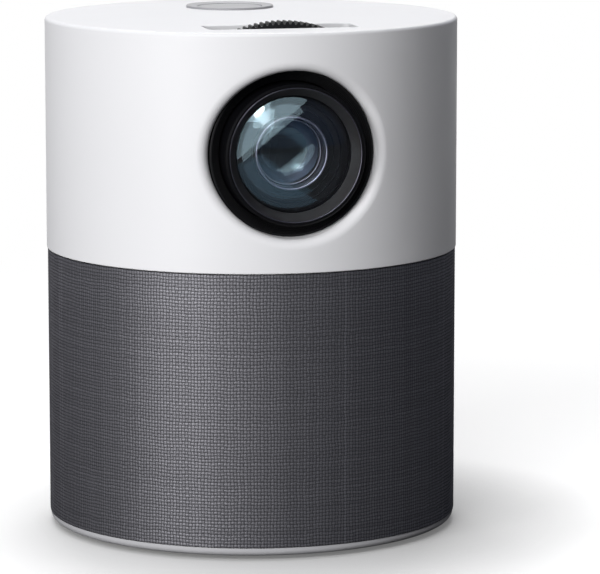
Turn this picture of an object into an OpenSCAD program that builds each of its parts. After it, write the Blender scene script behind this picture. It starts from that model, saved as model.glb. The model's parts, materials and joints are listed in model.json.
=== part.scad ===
// Drum-shaped video projector. A white upper shell holds the lens and the picture engine,
// and a cloth-covered lower half holds the speaker, the fan and the lamp.
// Millimetres. The floor is z = 0, +Z is up and the lens looks along -Y.

/* [Body] */
// Outer diameter of the drum
body_d = 140; // [138:1:150]
// Height of the top face above the floor
body_h = 174; // [170:1:184]
// Height of the upper shell, from its seam with the cloth to the top face
upper_h = 78.5; // [77:0.5:81]
// Wall of the upper shell
shell_wall = 2.6; // [2.2:0.1:3]
// Rounding of the top rim
rim_round = 1.2; // [0.6:0.1:2]
// Wall of the grille frame behind the cloth
frame_wall = 2.4; // [1.8:0.1:2.8]
// Thickness of the speaker cloth
cloth_t = 0.8; // [0.5:0.1:1.2]

/* [Base] */
// Height of the feet below the base
foot_h = 1.6; // [1:0.1:3]
// Diameter of a foot
foot_d = 14; // [10:1:18]
// Thickness of the base
base_t = 2.8; // [2.4:0.1:4]
// Rounding of the lower edge of the base
base_round = 2; // [1:0.1:2.2]
// Core diameter of the tripod thread
thread_d = 5.1; // [4.8:0.1:5.6]
// Length of the tripod insert
insert_len = 8; // [6:0.5:9]

/* [Lens] */
// Lens axis below the top face
lens_drop = 40; // [38.5:0.5:41]
// Diameter of the lens opening
opening_d = 55; // [54:0.5:58]
// Rounding of the edge of the lens opening
opening_round = 3; // [2:0.25:3.5]
// Bezel edge behind the front of the drum
bezel_depth = 8; // [7:0.5:9]
// Diameter of the front glass
glass_d = 40.4; // [36:0.2:40.6]
// Radius of curvature of the front glass
glass_curve = 50; // [42:1:80]
// Barrel rim behind the front of the drum
barrel_depth = 1.4; // [1:0.1:2.7]

/* [Focus] */
// Height of the ring above the top face
focus_proud = 2.1; // [1.2:0.1:2.6]
// Number of teeth
focus_teeth = 136; // [90:2:150]
// Thickness of the toothed rim
focus_t = 6; // [4:0.5:7]
// Turn from stop to stop, in degrees
focus_turn = 90; // [60:5:100]
// Barrel travel from stop to stop
focus_travel = 4; // [2:0.5:4.5]
// Width of the window for the ring
window_w = 50; // [46:1:56]

/* [Control] */
// Diameter of the round control
pad_d = 30.4; // [28:0.2:33]
// Distance of the control behind the axis
pad_back = 35; // [33:1:37]
// Diameter of the button
button_d = 22; // [18:0.5:23]
// Travel of the button
button_travel = 0.5; // [0.3:0.1:0.7]

/* [Cooling] */
// Side of the square fan
fan_size = 60; // [56:1:62]
// Thickness of the fan
fan_t = 15; // [12:1:18]
// Number of fan blades
blade_count = 7; // [5:1:9]
// Height of the heat sink fins
fin_h = 20; // [14:1:23]
// Number of heat sink fins
fin_count = 13; // [9:1:15]
// Number of exhaust slots
slot_count = 11; // [7:1:13]

/* [Picture engine] */
// Distance of the light tower behind the axis
engine_y = 9; // [8.5:0.5:10]
// Width of the picture panel
lcd_w = 70; // [64:1:71]
// Depth of the picture panel
lcd_d = 50; // [46:1:51]
// Thickness of the picture panel
lcd_t = 2.4; // [1.6:0.1:2.8]
// Thickness of the mirror
mirror_t = 3; // [2:0.1:3.4]
// Diameter of the condenser lens
condenser_d = 39; // [34:0.5:40]

/* [Sockets] */
// Width of the port tray
port_w = 52; // [50:1:54]
// Height of the port tray
port_h = 28; // [26:1:30]
// Height of the middle of the port tray above the seam
port_rise = 20; // [19.5:0.5:22]
// Diameter of the audio plug hole
audio_d = 3.6; // [3.5:0.05:3.8]

/* [Speaker] */
// Diameter of the speaker flange
speaker_d = 55; // [50:1:56]
// Height of the speaker axis above the middle of the lower half
speaker_lift = 3; // [0:0.5:6]
// Stroke of the cone each way
cone_stroke = 1; // [0.5:0.1:1.2]

/* [Hidden] */
$fn = 96;
// clearances and fits
eps = 0.01;
skin_fit = 0.15;
slide_fit = 0.2;
move_gap = 0.3;
shaft_fit = 0.06;
// drum
body_r = body_d / 2;
seam_z = body_h - upper_h;
shell_in_r = body_r - shell_wall;
shell_in_z = body_h - shell_wall;
cloth_inset = 0.3;
cloth_r = body_r - cloth_inset;
frame_r = cloth_r - cloth_t - skin_fit;
frame_in_r = frame_r - frame_wall;
seam_gap = 0.3;
spigot_r = shell_in_r - skin_fit;
spigot_wall = 1.4;
spigot_in_r = spigot_r - spigot_wall;
spigot_h = 5;
ledge_z = seam_z - 3.5;
ledge_t = 2.5;
// base
base_z = foot_h;
base_top = base_z + base_t;
base_r = body_r - 0.6;
base_rim_h = 5;
base_rim_wall = 2;
foot_margin = 9.4;
foot_ring_r = base_r - foot_d / 2 - foot_margin;
foot_seat = 1;
insert_r = 4.5;
tripod_boss_r = 8;
tripod_boss_top = base_z + insert_len + 1;
frame_boss_r = 4;
frame_boss_h = 14;
frame_boss_sink = 0.6;
frame_boss_at = frame_in_r - frame_boss_r + frame_boss_sink;
base_screw_len = 11;
insert_fit = 0.03;
head_gap = 0.4;
// screws
m3_r = 1.5;
m3_clear = 1.7;
m3_pilot = 1.25;
m3_head_r = 2.8;
m3_head_h = 1.6;
m2_r = 1;
m2_clear = 1.15;
m2_pilot = 0.8;
m2_head_r = 1.9;
m2_head_h = 1.3;
thread_fit = 0.05;
// chassis and shell bosses
chassis_t = 2.5;
chassis_top = ledge_z + chassis_t;
chassis_r = spigot_in_r - slide_fit;
shell_boss_r = 3.6;
shell_boss_gap = 1.25;
shell_boss_at = spigot_in_r - shell_boss_gap - shell_boss_r;
shell_screw_len = 14;
ledge_in_r = shell_boss_at - 5;
vent_len = 14;
vent_x = chassis_r - 7.65 - vent_len / 2;
shell_boss_top = seam_z + 20;
shell_boss_angles = [60, 120, 240, 300];
// lens, along u: distance from the drum axis towards the front
lens_z = body_h - lens_drop;
opening_r = opening_d / 2;
bezel_u = body_r - bezel_depth;
barrel_u = body_r - barrel_depth;
barrel_r = 24;
nose_r = 23.3;
mount_in_r = barrel_r + slide_fit;
mount_r = mount_in_r + 2.3;
// focus ring
focus_r = lens_drop + focus_proud;
tooth_h = 0.9;
ring_side_gap = 1.9;
focus_u1 = sqrt(pow(shell_in_r, 2) - pow(focus_r + ring_side_gap, 2));
focus_u0 = focus_u1 - focus_t;
hub_in_r = mount_r + slide_fit;
hub_r = hub_in_r + 4.6;
pin_r = 1.5;
pin_fit = 0.02;
groove_clear = 0.25;
groove_half = pin_r + groove_clear;
groove_r = hub_in_r + 1.9;
pin_tip_r = groove_r - move_gap;
pin_root_r = barrel_r - 4;
hub_margin = 1.2;
hub_len = focus_travel + 2 * groove_half + 2 * hub_margin;
hub_u1 = focus_u1 + 2.2;
hub_u0 = hub_u1 - hub_len;
pin_u = (hub_u0 + hub_u1) / 2;
pin_angles = [90, 210, 330];
retainer_t = 1.5;
retainer_u = hub_u1 + move_gap;
mount_u1 = retainer_u + retainer_t;
shoulder_t = 3;
ring_shoulder_r = hub_in_r + 3.5;
bezel_u0 = mount_u1 + 0.4;
bezel_flange_t = 2;
bezel_in_r = nose_r + 0.4;
bezel_r = opening_r - slide_fit;
bezel_flange_r = opening_r + 3.5;
tunnel_u = bezel_u0 + bezel_flange_t;
window_y0 = -focus_u1 - 2;
window_y1 = -focus_u0 + 8;
window_round = 2;
// glass seats in the barrel, along u
glass_r = glass_d / 2;
glass_fit = 0.05;
glass_vertex_u = barrel_u - 0.7;
glass_edge_u = glass_vertex_u - glass_curve + sqrt(pow(glass_curve, 2) - pow(glass_r, 2));
glass_edge_t = 4.1;
glass_back_u = glass_edge_u - glass_edge_t;
glass_back_curve = 40;
glass_bore_r = glass_r - 1.7;
front_ring_in_r = glass_r - 0.9;
front_ring_r = glass_r + 2;
front_ring_u = glass_vertex_u - glass_curve + sqrt(pow(glass_curve, 2) - pow(front_ring_in_r, 2)) + 0.1;
middle_r = 11.6;
middle_u1 = glass_back_u - 5.5;
middle_t = 6;
stop_t = 2.3;
stop_u = middle_u1 - middle_t - stop_t;
stop_r = 7;
rear_bore_r = 15.6;
rear_lens_t = 7;
rear_curve = 60;
middle_curve = 34;
middle_dome = 1.5;
rear_ring_t = 3;
barrel_step = 2.4;
// light tower, upwards
fan_gap = 8;
fan_z = base_top + fan_gap;
fan_top = fan_z + fan_t;
fan_bore_r = fan_size / 2 - 2;
fan_hub_r = 12;
fan_hole_at = fan_size / 2 - 5;
fan_post_r = 3.6;
fan_strut_t = 2;
sink_base_t = 5;
sink_z = fan_top + fin_h;
sink_top = sink_z + sink_base_t;
sink_hole_r = 3.4;
fin_t = 1.5;
led_side = 30;
led_board_t = 1.6;
led_t = 1.2;
lamp_flange_t = 3;
lamp_wall = 1.6;
lamp_low_w = 2 * (fan_hole_at - m3_head_r - head_gap);
lamp_low_h = 12.5;
lamp_floor_z = sink_top + lamp_low_h;
lamp_floor_t = 4;
lamp_high_w = 64;
lamp_high_d = 52;
condenser_r = condenser_d / 2;
condenser_edge = 2;
condenser_curve = 27;
condenser_z = lamp_floor_z + 1.6;
light_w = 54;
light_d = 42;
// picture panel stack and mirror hood
stack_w = 82;
stack_d = 62;
stack_h = 10;
hood_z = chassis_top + stack_h;
pane_t = 2;
lcd_slot_z = chassis_top + 3.6;
hood_w = 72;
hood_half = 27;
hood_wall = 2.5;
hood_flange_t = 2;
hood_rise = 28;
mirror_side_gap = 1.5;
mirror_w = hood_w - 2 * hood_wall - 2 * mirror_side_gap;
mirror_len = 58;
mirror_back = mirror_t * sqrt(2);
hood_back = mirror_back + 2 * sqrt(2);
hood_screw_x = stack_w / 2 - 3;
hood_screw_y = stack_d / 2 - 2;
hood_bore_gap = 0.8;
mount_u0 = hood_half - engine_y;
mount_flange_gap = 0.2;
mount_flange = 2 * (lens_z - hood_z - hood_flange_t - mount_flange_gap);
mount_flange_t = 3;
mount_screw_at = mount_flange / 2 - 3.5;
mount_boss_len = 4;
mount_boss_r = 3.4;
barrel_u0 = mount_u0 + 1;
// rear board and sockets, along +Y
port_z = seam_z + port_rise;
tray_t = 2;
tray_y = sqrt(pow(body_r, 2) - pow(port_w / 2, 2)) - 0.5;
tray_shelf = 2;
socket_y1 = tray_y - 0.3;
socket_len = 14.5;
socket_y0 = socket_y1 - socket_len;
board_t = 1.6;
board_y0 = socket_y0 - board_t;
board_w = 68;
board_h = 35;
guide_w = 8;
guide_d = 6;
guide_h = 7;
guide_x = board_w / 2 - guide_w / 2 - 1;
guide_floor = 1.5;
row_z = 5.5;
video_size = [15, 5.6];
data_size = [13.2, 6];
video_x = -13;
data_x = 9;
audio_x = -17;
power_x = 14;
ir_x = -4;
audio_nose_r = 3;
power_nose_r = 4;
power_hole_r = 2.9;
power_pin_r = 1;
ir_r = 2.4;
hole_gap = 0.3;
socket_skin = 0.4;
tongue_t = 1.2;
tongue_len = 8;
cavity_len = 10;
// driver board in the lower half
driver_gap = 14;
driver_x = fan_size / 2 + driver_gap;
driver_len = 50;
driver_h = 36;
driver_y = 10;
chip_side = 18;
chip_t = 2.4;
chip_x = 21;
ribbon_w = 20;
ribbon_t = 0.3;
ribbon_rise = 16;
ribbon_gap = 0.1;
// round control, downwards from the top face
pad_r = pad_d / 2;
control_r = pad_r - skin_fit;
control_lip = 1.9;
button_r = button_d / 2;
button_lip = 1.4;
guide_drop = 2.5;
guide_top = shell_in_z - guide_drop;
guide_t = 2;
key_margin = 6.6;
key_screw_at = pad_r + key_margin;
key_boss_r = 2.8;
guide_edge = 0.4;
guide_r = key_screw_at + key_boss_r + guide_edge;
key_angles = [30, 150, 270];
button_rest = 1;
button_flange_z = guide_top + button_rest;
button_flange_t = 1.3;
stem_r = 2.5;
switch_h = 3.5;
plunger_h = 1;
stem_len = 5.6;
stem_z = guide_top - stem_len;
switch_gap = 0.2;
key_board_top = stem_z - button_travel - switch_gap - plunger_h - switch_h;
key_board_t = 1.6;
control_proud = 0.7;
control_top = body_h + control_proud;
dish_curve = 80;
dish_depth = 1.4;
dish_drop = 0.5;
switch_side = 6;
plunger_r = 1.7;
stem_gap = 0.35;
// speaker, along u
speaker_r = speaker_d / 2;
speaker_z = (base_top + ledge_z - ledge_t) / 2 + speaker_lift;
speaker_screw_len = 5;
speaker_u = sqrt(pow(frame_in_r, 2) - pow(speaker_r, 2)) - 0.9;
speaker_ring_in_r = speaker_r - 5;
speaker_screw_at = speaker_r - 2.5;
flange_t = 1.5;
basket_len = 12;
basket_back_r = 14;
basket_wall = 1.2;
basket_plate_t = 1.5;
basket_u0 = speaker_u - flange_t - basket_len;
magnet_r = 15;
magnet_t = 11;
magnet_u0 = basket_u0 - basket_plate_t - magnet_t;
coil_len = 3;
neck_gap = 3;
coil_r = 6.9;
coil_wall = 0.6;
coil_gap = 0.6;
cone_margin = 8.5;
cone_r = speaker_r - cone_margin;
cone_t = 0.8;
surround_margin = 6;
surround_r = speaker_r - surround_margin;
grille_slots = 11;

// Points of an arc, for revolved outlines.
function arc(cx, cy, r, a0, a1, n = 8) =
    [for (i = [0 : n]) [cx + r * cos(a0 + (a1 - a0) * i / n), cy + r * sin(a0 + (a1 - a0) * i / n)]];

// Turns local z into the distance u in front of the drum axis, at height z.
module facing_front(z) {
    translate([0, 0, z]) rotate([90, 0, 0]) children();
}

// Turns an outline drawn in (y, z) into a body of width w centred on x = 0.
module side_profile(w, points) {
    translate([-w / 2, 0, 0]) rotate([90, 0, 90]) linear_extrude(w) polygon(points);
}

module revolve(points) {
    rotate_extrude() polygon(points);
}

module tube(r_out, r_in, h) {
    difference() {
        cylinder(r = r_out, h = h);
        translate([0, 0, -eps]) cylinder(r = r_in, h = h + 2 * eps);
    }
}

// Box centred on x and y, standing on z = 0.
module block(w, d, h) {
    translate([-w / 2, -d / 2, 0]) cube([w, d, h]);
}

module rounded_block(w, d, h, r) {
    block(w - 2 * r, d, h);
    block(w, d - 2 * r, h);
    for (x = [-1, 1], y = [-1, 1])
        translate([x * (w / 2 - r), y * (d / 2 - r), 0]) cylinder(r = r, h = h);
}

// Screw with its head on z = 0 and its shank below.
module screw(r, len, head_r, head_h) {
    cylinder(r = head_r, h = head_h);
    translate([0, 0, -len]) cylinder(r = r, h = len + eps);
}

module at_four(a, b) {
    for (x = [-1, 1], y = [-1, 1]) translate([x * a, y * b, 0]) children();
}

module in_ring(r, angles) {
    for (a = angles) rotate([0, 0, a]) translate([r, 0, 0]) children();
}

module at_shell_bosses() {
    in_ring(shell_boss_at, [for (a = shell_boss_angles) a - 90]) children();
}

module at_control() {
    translate([0, pad_back, 0]) children();
}

module at_engine(z) {
    translate([0, engine_y, z]) children();
}

// Cutter that rounds the saddle-shaped edge of the lens opening. It starts a little inside the
// wall of the opening and ends a little above the drum, so that the surfaces cross.
module opening_rounding() {
    turns = 72;
    steps = 9;
    over = 3;
    inset = 0.25;
    lift = 0.08;
    start_r = opening_r - inset;
    round_r = opening_round + inset;
    function drum_u(a, r) = sqrt(pow(body_r, 2) - pow(r * cos(a), 2));
    function slope(a, r) = atan(r * pow(cos(a), 2) / drum_u(a, r));
    function touch_r(a, tries) = tries == 0 ? start_r + round_r
        : start_r + round_r * (1 + sin(slope(a, touch_r(a, tries - 1))));
    function lean(a) = slope(a, touch_r(a, 4));
    function foot(a) = drum_u(a, touch_r(a, 4)) - round_r * cos(lean(a)) + lift;
    function swing(a, j) = (90 + lean(a)) * j / steps;
    function bend_r(a, j) = start_r + round_r * (1 - cos(swing(a, j)));
    function bend_u(a, j) = foot(a) + round_r * sin(swing(a, j));
    function outline(a) = concat(
        [[start_r - over, foot(a)]],
        [for (j = [0 : steps]) [bend_r(a, j), bend_u(a, j)]],
        [[bend_r(a, steps), body_r + over], [start_r - over, body_r + over]]);
    size = steps + 4;
    points = [for (i = [0 : turns - 1], p = outline(360 * i / turns))
        [p[0] * cos(360 * i / turns), p[0] * sin(360 * i / turns), p[1]]];
    function at(i, j) = (i % turns) * size + j % size;
    faces = [for (i = [0 : turns - 1], j = [0 : size - 1], half = [0, 1])
        half == 0 ? [at(i, j), at(i, j + 1), at(i + 1, j)]
            : [at(i, j + 1), at(i + 1, j + 1), at(i + 1, j)]];
    polyhedron(points, faces);
}

module upper_shell() {
    rim = arc(body_r - rim_round, body_h - rim_round, rim_round, 0, 90);
    cup = concat([[body_r, seam_z]], rim, [[0, body_h], [0, shell_in_z], [shell_in_r, shell_in_z],
        [shell_in_r, seam_z]]);
    color("white") difference() {
        union() {
            revolve(cup);
            intersection() {
                facing_front(lens_z) translate([0, 0, tunnel_u])
                    cylinder(r = bezel_flange_r, h = body_r - tunnel_u);
                cylinder(r = body_r - 1, h = body_h - 1);
            }
            at_shell_bosses() {
                translate([0, 0, chassis_top]) cylinder(r = shell_boss_r, h = shell_boss_top - chassis_top);
                translate([0, -1.5, seam_z + spigot_h + 1])
                    cube([shell_in_r - shell_boss_at + 1, 3, shell_boss_top - seam_z - spigot_h - 1]);
            }
            at_control() in_ring(key_screw_at, key_angles)
                translate([0, 0, guide_top]) cylinder(r = key_boss_r, h = shell_in_z - guide_top + 1);
        }
        facing_front(lens_z) translate([0, 0, tunnel_u - 1]) cylinder(r = opening_r, h = body_r);
        facing_front(lens_z) opening_rounding();
        translate([0, (window_y0 + window_y1) / 2, shell_in_z - 1])
            rounded_block(window_w, window_y1 - window_y0, shell_wall + 2, window_round);
        at_control() translate([0, 0, shell_in_z - 1]) cylinder(r = pad_r, h = shell_wall + 2);
        at_control() in_ring(key_screw_at, key_angles)
            translate([0, 0, guide_top - 1]) cylinder(r = m2_pilot, h = 3.6);
        at_shell_bosses() translate([0, 0, chassis_top - 1]) cylinder(r = m3_pilot, h = 12);
        exhaust_slots();
        translate([0, body_r - 10, port_z - port_h / 2 - skin_fit])
            block(port_w + 2 * skin_fit, 30, port_h + 2 * skin_fit);
    }
}

module exhaust_slots() {
    slot_w = 2.2;
    slot_pitch = 4.6;
    slot_z = port_z + port_h / 2 + 6;
    slot_top = body_h - 14;
    for (i = [0 : slot_count - 1])
        translate([(i - (slot_count - 1) / 2) * slot_pitch, body_r - 8, slot_z])
            block(slot_w, 24, slot_top - slot_z);
}

module lens_bezel() {
    flat = 0.8;
    color("black") facing_front(lens_z) revolve([[bezel_in_r, bezel_u0], [bezel_flange_r, bezel_u0],
        [bezel_flange_r, tunnel_u], [bezel_r, tunnel_u], [bezel_r, bezel_u], [bezel_r - flat, bezel_u],
        [bezel_in_r, bezel_u - 3.5]]);
}

module port_tray() {
    color("dimgray") difference() {
        intersection() {
            translate([-port_w / 2, tray_y - tray_t, port_z - port_h / 2]) cube([port_w, 20, port_h]);
            cylinder(r = body_r - 0.2, h = body_h);
        }
        translate([-body_r, tray_y, port_z - port_h / 2 + tray_shelf])
            cube([body_d, 20, port_h - 2 * tray_shelf]);
        translate([video_x, tray_y, port_z + row_z]) socket_hole(video_size);
        translate([data_x, tray_y, port_z + row_z]) socket_hole(data_size);
        translate([audio_x, tray_y, port_z - row_z]) round_hole(audio_nose_r);
        translate([power_x, tray_y, port_z - row_z]) round_hole(power_nose_r);
        translate([ir_x, tray_y, port_z - row_z]) round_hole(ir_r);
    }
}

module socket_hole(size) {
    translate([0, 0, -size[1] / 2 - hole_gap]) block(size[0] + 2 * hole_gap, 10, size[1] + 2 * hole_gap);
}

module round_hole(r) {
    translate([0, 5, 0]) rotate([90, 0, 0]) cylinder(r = r + hole_gap, h = 10);
}

module cloth_sleeve() {
    color("dimgray") translate([0, 0, base_top])
        tube(cloth_r, cloth_r - cloth_t, seam_z - seam_gap - base_top);
}

module grille_frame() {
    wall = [[frame_in_r, base_top], [frame_r, base_top], [frame_r, seam_z - seam_gap],
        [spigot_r, seam_z - seam_gap], [spigot_r, seam_z + spigot_h], [spigot_in_r, seam_z + spigot_h],
        [spigot_in_r, ledge_z], [ledge_in_r, ledge_z], [ledge_in_r, ledge_z - ledge_t],
        [frame_in_r, ledge_z - ledge_t]];
    color("gray") difference() {
        union() {
            revolve(wall);
            in_ring(frame_boss_at, [0 : 90 : 270])
                translate([0, 0, base_top]) cylinder(r = frame_boss_r, h = frame_boss_h);
            intersection() {
                facing_front(speaker_z) translate([0, 0, speaker_u])
                    tube(speaker_r, speaker_ring_in_r, body_r - speaker_u);
                cylinder(r = frame_in_r + 1, h = seam_z);
            }
        }
        in_ring(frame_boss_at, [0 : 90 : 270])
            translate([0, 0, base_top - 1]) cylinder(r = m3_pilot, h = frame_boss_h - 1);
        at_shell_bosses() translate([0, 0, ledge_z - ledge_t - 1]) cylinder(r = m3_clear, h = ledge_t + 2);
        facing_front(speaker_z) in_ring(speaker_screw_at, [45 : 90 : 315])
            translate([0, 0, speaker_u - 1]) cylinder(r = m2_pilot, h = 5);
        grille_cuts();
    }
}

module grille_cuts() {
    cut_w = 2.4;
    reach = speaker_ring_in_r - 1.5;
    pitch = 1.8 * reach / (grille_slots - 1);
    for (i = [0 : grille_slots - 1]) {
        side = (i - (grille_slots - 1) / 2) * pitch;
        half = sqrt(pow(reach, 2) - pow(side, 2));
        rotate([0, 0, asin(side / frame_r)]) translate([0, -frame_r, speaker_z - half])
            block(cut_w, 3 * frame_wall, 2 * half);
    }
}

module base_tray() {
    edge = arc(base_r - base_round, base_z + base_round, base_round, -90, 0);
    rim_r = frame_in_r - slide_fit;
    outline = concat([[0, base_z]], edge, [[base_r, base_top], [rim_r, base_top],
        [rim_r, base_top + base_rim_h], [rim_r - base_rim_wall, base_top + base_rim_h],
        [rim_r - base_rim_wall, base_top], [0, base_top]]);
    color("whitesmoke") difference() {
        union() {
            difference() {
                revolve(outline);
                intake_slots();
                in_ring(frame_boss_at, [0 : 90 : 270])
                    translate([0, 0, base_top]) cylinder(r = frame_boss_r + 1, h = base_rim_h + 1);
            }
            translate([0, 0, base_z]) cylinder(r = tripod_boss_r, h = tripod_boss_top - base_z);
            at_engine(base_z) at_four(fan_hole_at, fan_hole_at)
                cylinder(r = fan_post_r, h = fan_z - base_z);
            for (y = [-1, 1])
                translate([driver_x, driver_y + y * (driver_len - guide_w) / 2, base_top - eps])
                rotate([0, 0, 90]) card_guide();
        }
        translate([0, 0, base_z - 1]) cylinder(r = insert_r + insert_fit, h = insert_len + 1);
        in_ring(foot_ring_r, [45 : 90 : 315])
            translate([0, 0, base_z - 1]) cylinder(r = foot_d / 2 + skin_fit, h = foot_seat + 1);
        in_ring(frame_boss_at, [0 : 90 : 270]) translate([0, 0, base_z - 1]) {
            cylinder(r = m3_clear, h = base_t + 2);
            cylinder(r = m3_head_r + head_gap, h = m3_head_h + 1);
        }
        at_engine(base_z + 1) at_four(fan_hole_at, fan_hole_at) cylinder(r = m3_pilot + 0.3, h = fan_z);
    }
}

module intake_slots() {
    slot_w = 3;
    slot_pitch = 6;
    reach = fan_bore_r - 2;
    for (i = [-4 : 4])
        at_engine(base_z - 1) translate([0, i * slot_pitch, 0])
            block(2 * sqrt(pow(reach, 2) - pow(i * slot_pitch, 2)), slot_w, base_t + 2);
}

// Slotted block that holds the edge of a board.
module card_guide() {
    difference() {
        block(guide_w, guide_d, guide_h);
        translate([0, 0, guide_floor]) block(guide_w + 2, board_t + skin_fit, guide_h);
    }
}

module rubber_feet() {
    color("dimgray") in_ring(foot_ring_r, [45 : 90 : 315]) cylinder(d = foot_d, h = foot_h + foot_seat);
}

module tripod_insert() {
    color("goldenrod") translate([0, 0, base_z]) tube(insert_r, thread_d / 2, insert_len);
}

module base_screws() {
    color("silver") in_ring(frame_boss_at, [0 : 90 : 270])
        translate([0, 0, base_z + m3_head_h]) rotate([180, 0, 0])
            screw(m3_pilot - thread_fit, base_screw_len, m3_head_r, m3_head_h);
}

module mid_chassis() {
    vent_w = 3.4;
    vent_pitch = 7;
    notch_gap = 1.5;
    notch_w = 2 * sqrt(pow(focus_r + notch_gap, 2) - pow(lens_z - chassis_top, 2));
    color("dimgray") difference() {
        union() {
            translate([0, 0, ledge_z]) cylinder(r = chassis_r, h = chassis_t);
            for (x = [-1, 1])
                translate([x * guide_x, board_y0 + board_t / 2, chassis_top - eps]) card_guide();
        }
        at_engine(ledge_z - 1) block(light_w, light_d, chassis_t + 2);
        translate([0, -(focus_u0 + focus_u1) / 2, ledge_z - 1])
            block(notch_w, focus_t + 2 * notch_gap, chassis_t + 2);
        at_shell_bosses() translate([0, 0, ledge_z - 1]) cylinder(r = m3_clear, h = chassis_t + 2);
        at_engine(ledge_z - 1) at_four(hood_screw_x, hood_screw_y)
            cylinder(r = m2_r, h = chassis_t + 2);
        for (x = [-1, 1], i = [-2 : 2])
            translate([x * vent_x, i * vent_pitch + engine_y, ledge_z - 1])
                block(vent_len, vent_w, chassis_t + 2);
    }
}

module shell_screws() {
    color("silver") at_shell_bosses()
        translate([0, 0, ledge_z - ledge_t]) rotate([180, 0, 0])
            screw(m3_pilot - thread_fit, shell_screw_len, m3_head_r, m3_head_h);
}

module control_ring() {
    dish_top = control_top - dish_drop;
    color("lightgray") at_control() difference() {
        union() {
            translate([0, 0, guide_top]) cylinder(r = control_r, h = control_top - guide_top);
            translate([0, 0, guide_top]) cylinder(r = control_r + control_lip, h = shell_in_z - guide_top);
        }
        translate([0, 0, guide_top - 1]) cylinder(r = button_r + move_gap, h = 10);
        translate([0, 0, guide_top - 1])
            cylinder(r = button_r + button_lip + move_gap,
                h = 1 + button_flange_z + button_flange_t + move_gap - guide_top);
        translate([0, 0, dish_top + dish_curve - dish_depth / 2]) sphere(r = dish_curve);
    }
}

module power_button() {
    cap_top = control_top - dish_drop;
    color("whitesmoke") at_control() difference() {
        union() {
            translate([0, 0, button_flange_z]) cylinder(r = button_r + button_lip, h = button_flange_t);
            translate([0, 0, button_flange_z]) cylinder(r = button_r, h = cap_top - button_flange_z);
            translate([0, 0, stem_z]) cylinder(r = stem_r, h = button_flange_z - stem_z + 1);
        }
        translate([0, 0, cap_top + dish_curve - dish_depth / 2]) sphere(r = dish_curve);
    }
}

module button_guide() {
    color("dimgray") at_control() difference() {
        union() {
            translate([0, 0, guide_top - guide_t]) cylinder(r = guide_r, h = guide_t);
            in_ring(key_screw_at, key_angles)
                translate([0, 0, key_board_top])
                    cylinder(r = key_boss_r, h = guide_top - key_board_top - 1);
        }
        translate([0, 0, guide_top - guide_t - 1]) cylinder(r = stem_r + stem_gap, h = guide_t + 2);
        in_ring(key_screw_at, key_angles)
            translate([0, 0, key_board_top - 1]) cylinder(r = m2_clear, h = guide_top - key_board_top + 2);
    }
}

module key_board() {
    color("darkgreen") at_control() difference() {
        translate([0, 0, key_board_top - key_board_t]) cylinder(r = guide_r, h = key_board_t);
        in_ring(key_screw_at, key_angles)
            translate([0, 0, key_board_top - key_board_t - 1]) cylinder(r = m2_clear, h = key_board_t + 2);
    }
}

module tact_switch() {
    color("black") at_control() translate([0, 0, key_board_top]) {
        block(switch_side, switch_side, switch_h);
        cylinder(r = plunger_r, h = switch_h + plunger_h);
    }
}

module key_screws() {
    len = guide_top + 2 - key_board_top + key_board_t;
    color("silver") at_control() in_ring(key_screw_at, key_angles)
        translate([0, 0, key_board_top - key_board_t]) rotate([180, 0, 0])
            screw(m2_pilot - thread_fit, len, m2_head_r, m2_head_h);
}

module focus_ring() {
    recess = 1.5;
    tooth = 360 / focus_teeth;
    outline = [for (i = [0 : focus_teeth - 1], p = [[0.1, 0], [0.3, 1], [0.6, 1], [0.8, 0]])
        let (a = (i + p[0]) * tooth, r = focus_r - tooth_h * (1 - p[1])) [r * cos(a), r * sin(a)]];
    color("black") facing_front(lens_z) difference() {
        union() {
            translate([0, 0, focus_u0]) linear_extrude(focus_t) polygon(outline);
            translate([0, 0, hub_u0]) cylinder(r = hub_r, h = hub_len);
        }
        translate([0, 0, hub_u0 - 1]) cylinder(r = hub_in_r, h = hub_len + 2);
        for (u = [focus_u0 - 1, focus_u1 - recess])
            translate([0, 0, u]) tube(focus_r - 5, hub_r + 1, recess + 1);
        for (a = pin_angles) rotate([0, 0, a]) translate([0, 0, pin_u]) focus_groove();
    }
}

// Helical groove that moves a pin by focus_travel while the ring makes focus_turn.
module focus_groove() {
    steps = 24;
    over = asin(groove_half / hub_in_r);
    span = focus_turn + 2 * over;
    function angle(i) = span * (i / steps - 0.5);
    function shift(i) = -focus_travel * angle(i) / focus_turn;
    corners = [[hub_in_r - 1, -groove_half], [groove_r, -groove_half], [groove_r, groove_half],
        [hub_in_r - 1, groove_half]];
    points = [for (i = [0 : steps], c = corners)
        [c[0] * cos(angle(i)), c[0] * sin(angle(i)), c[1] + shift(i)]];
    sides = [for (i = [0 : steps - 1], j = [0 : 3], half = [0, 1])
        let (a = 4 * i + j, b = 4 * i + (j + 1) % 4)
        half == 0 ? [a, b, a + 4] : [b, b + 4, a + 4]];
    end = 4 * steps;
    polyhedron(points, concat([[3, 2, 1, 0]], sides, [[end, end + 1, end + 2, end + 3]]));
}

module focus_retainer() {
    color("black") facing_front(lens_z) translate([0, 0, retainer_u])
        tube(ring_shoulder_r, mount_r + insert_fit, retainer_t);
}

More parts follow.
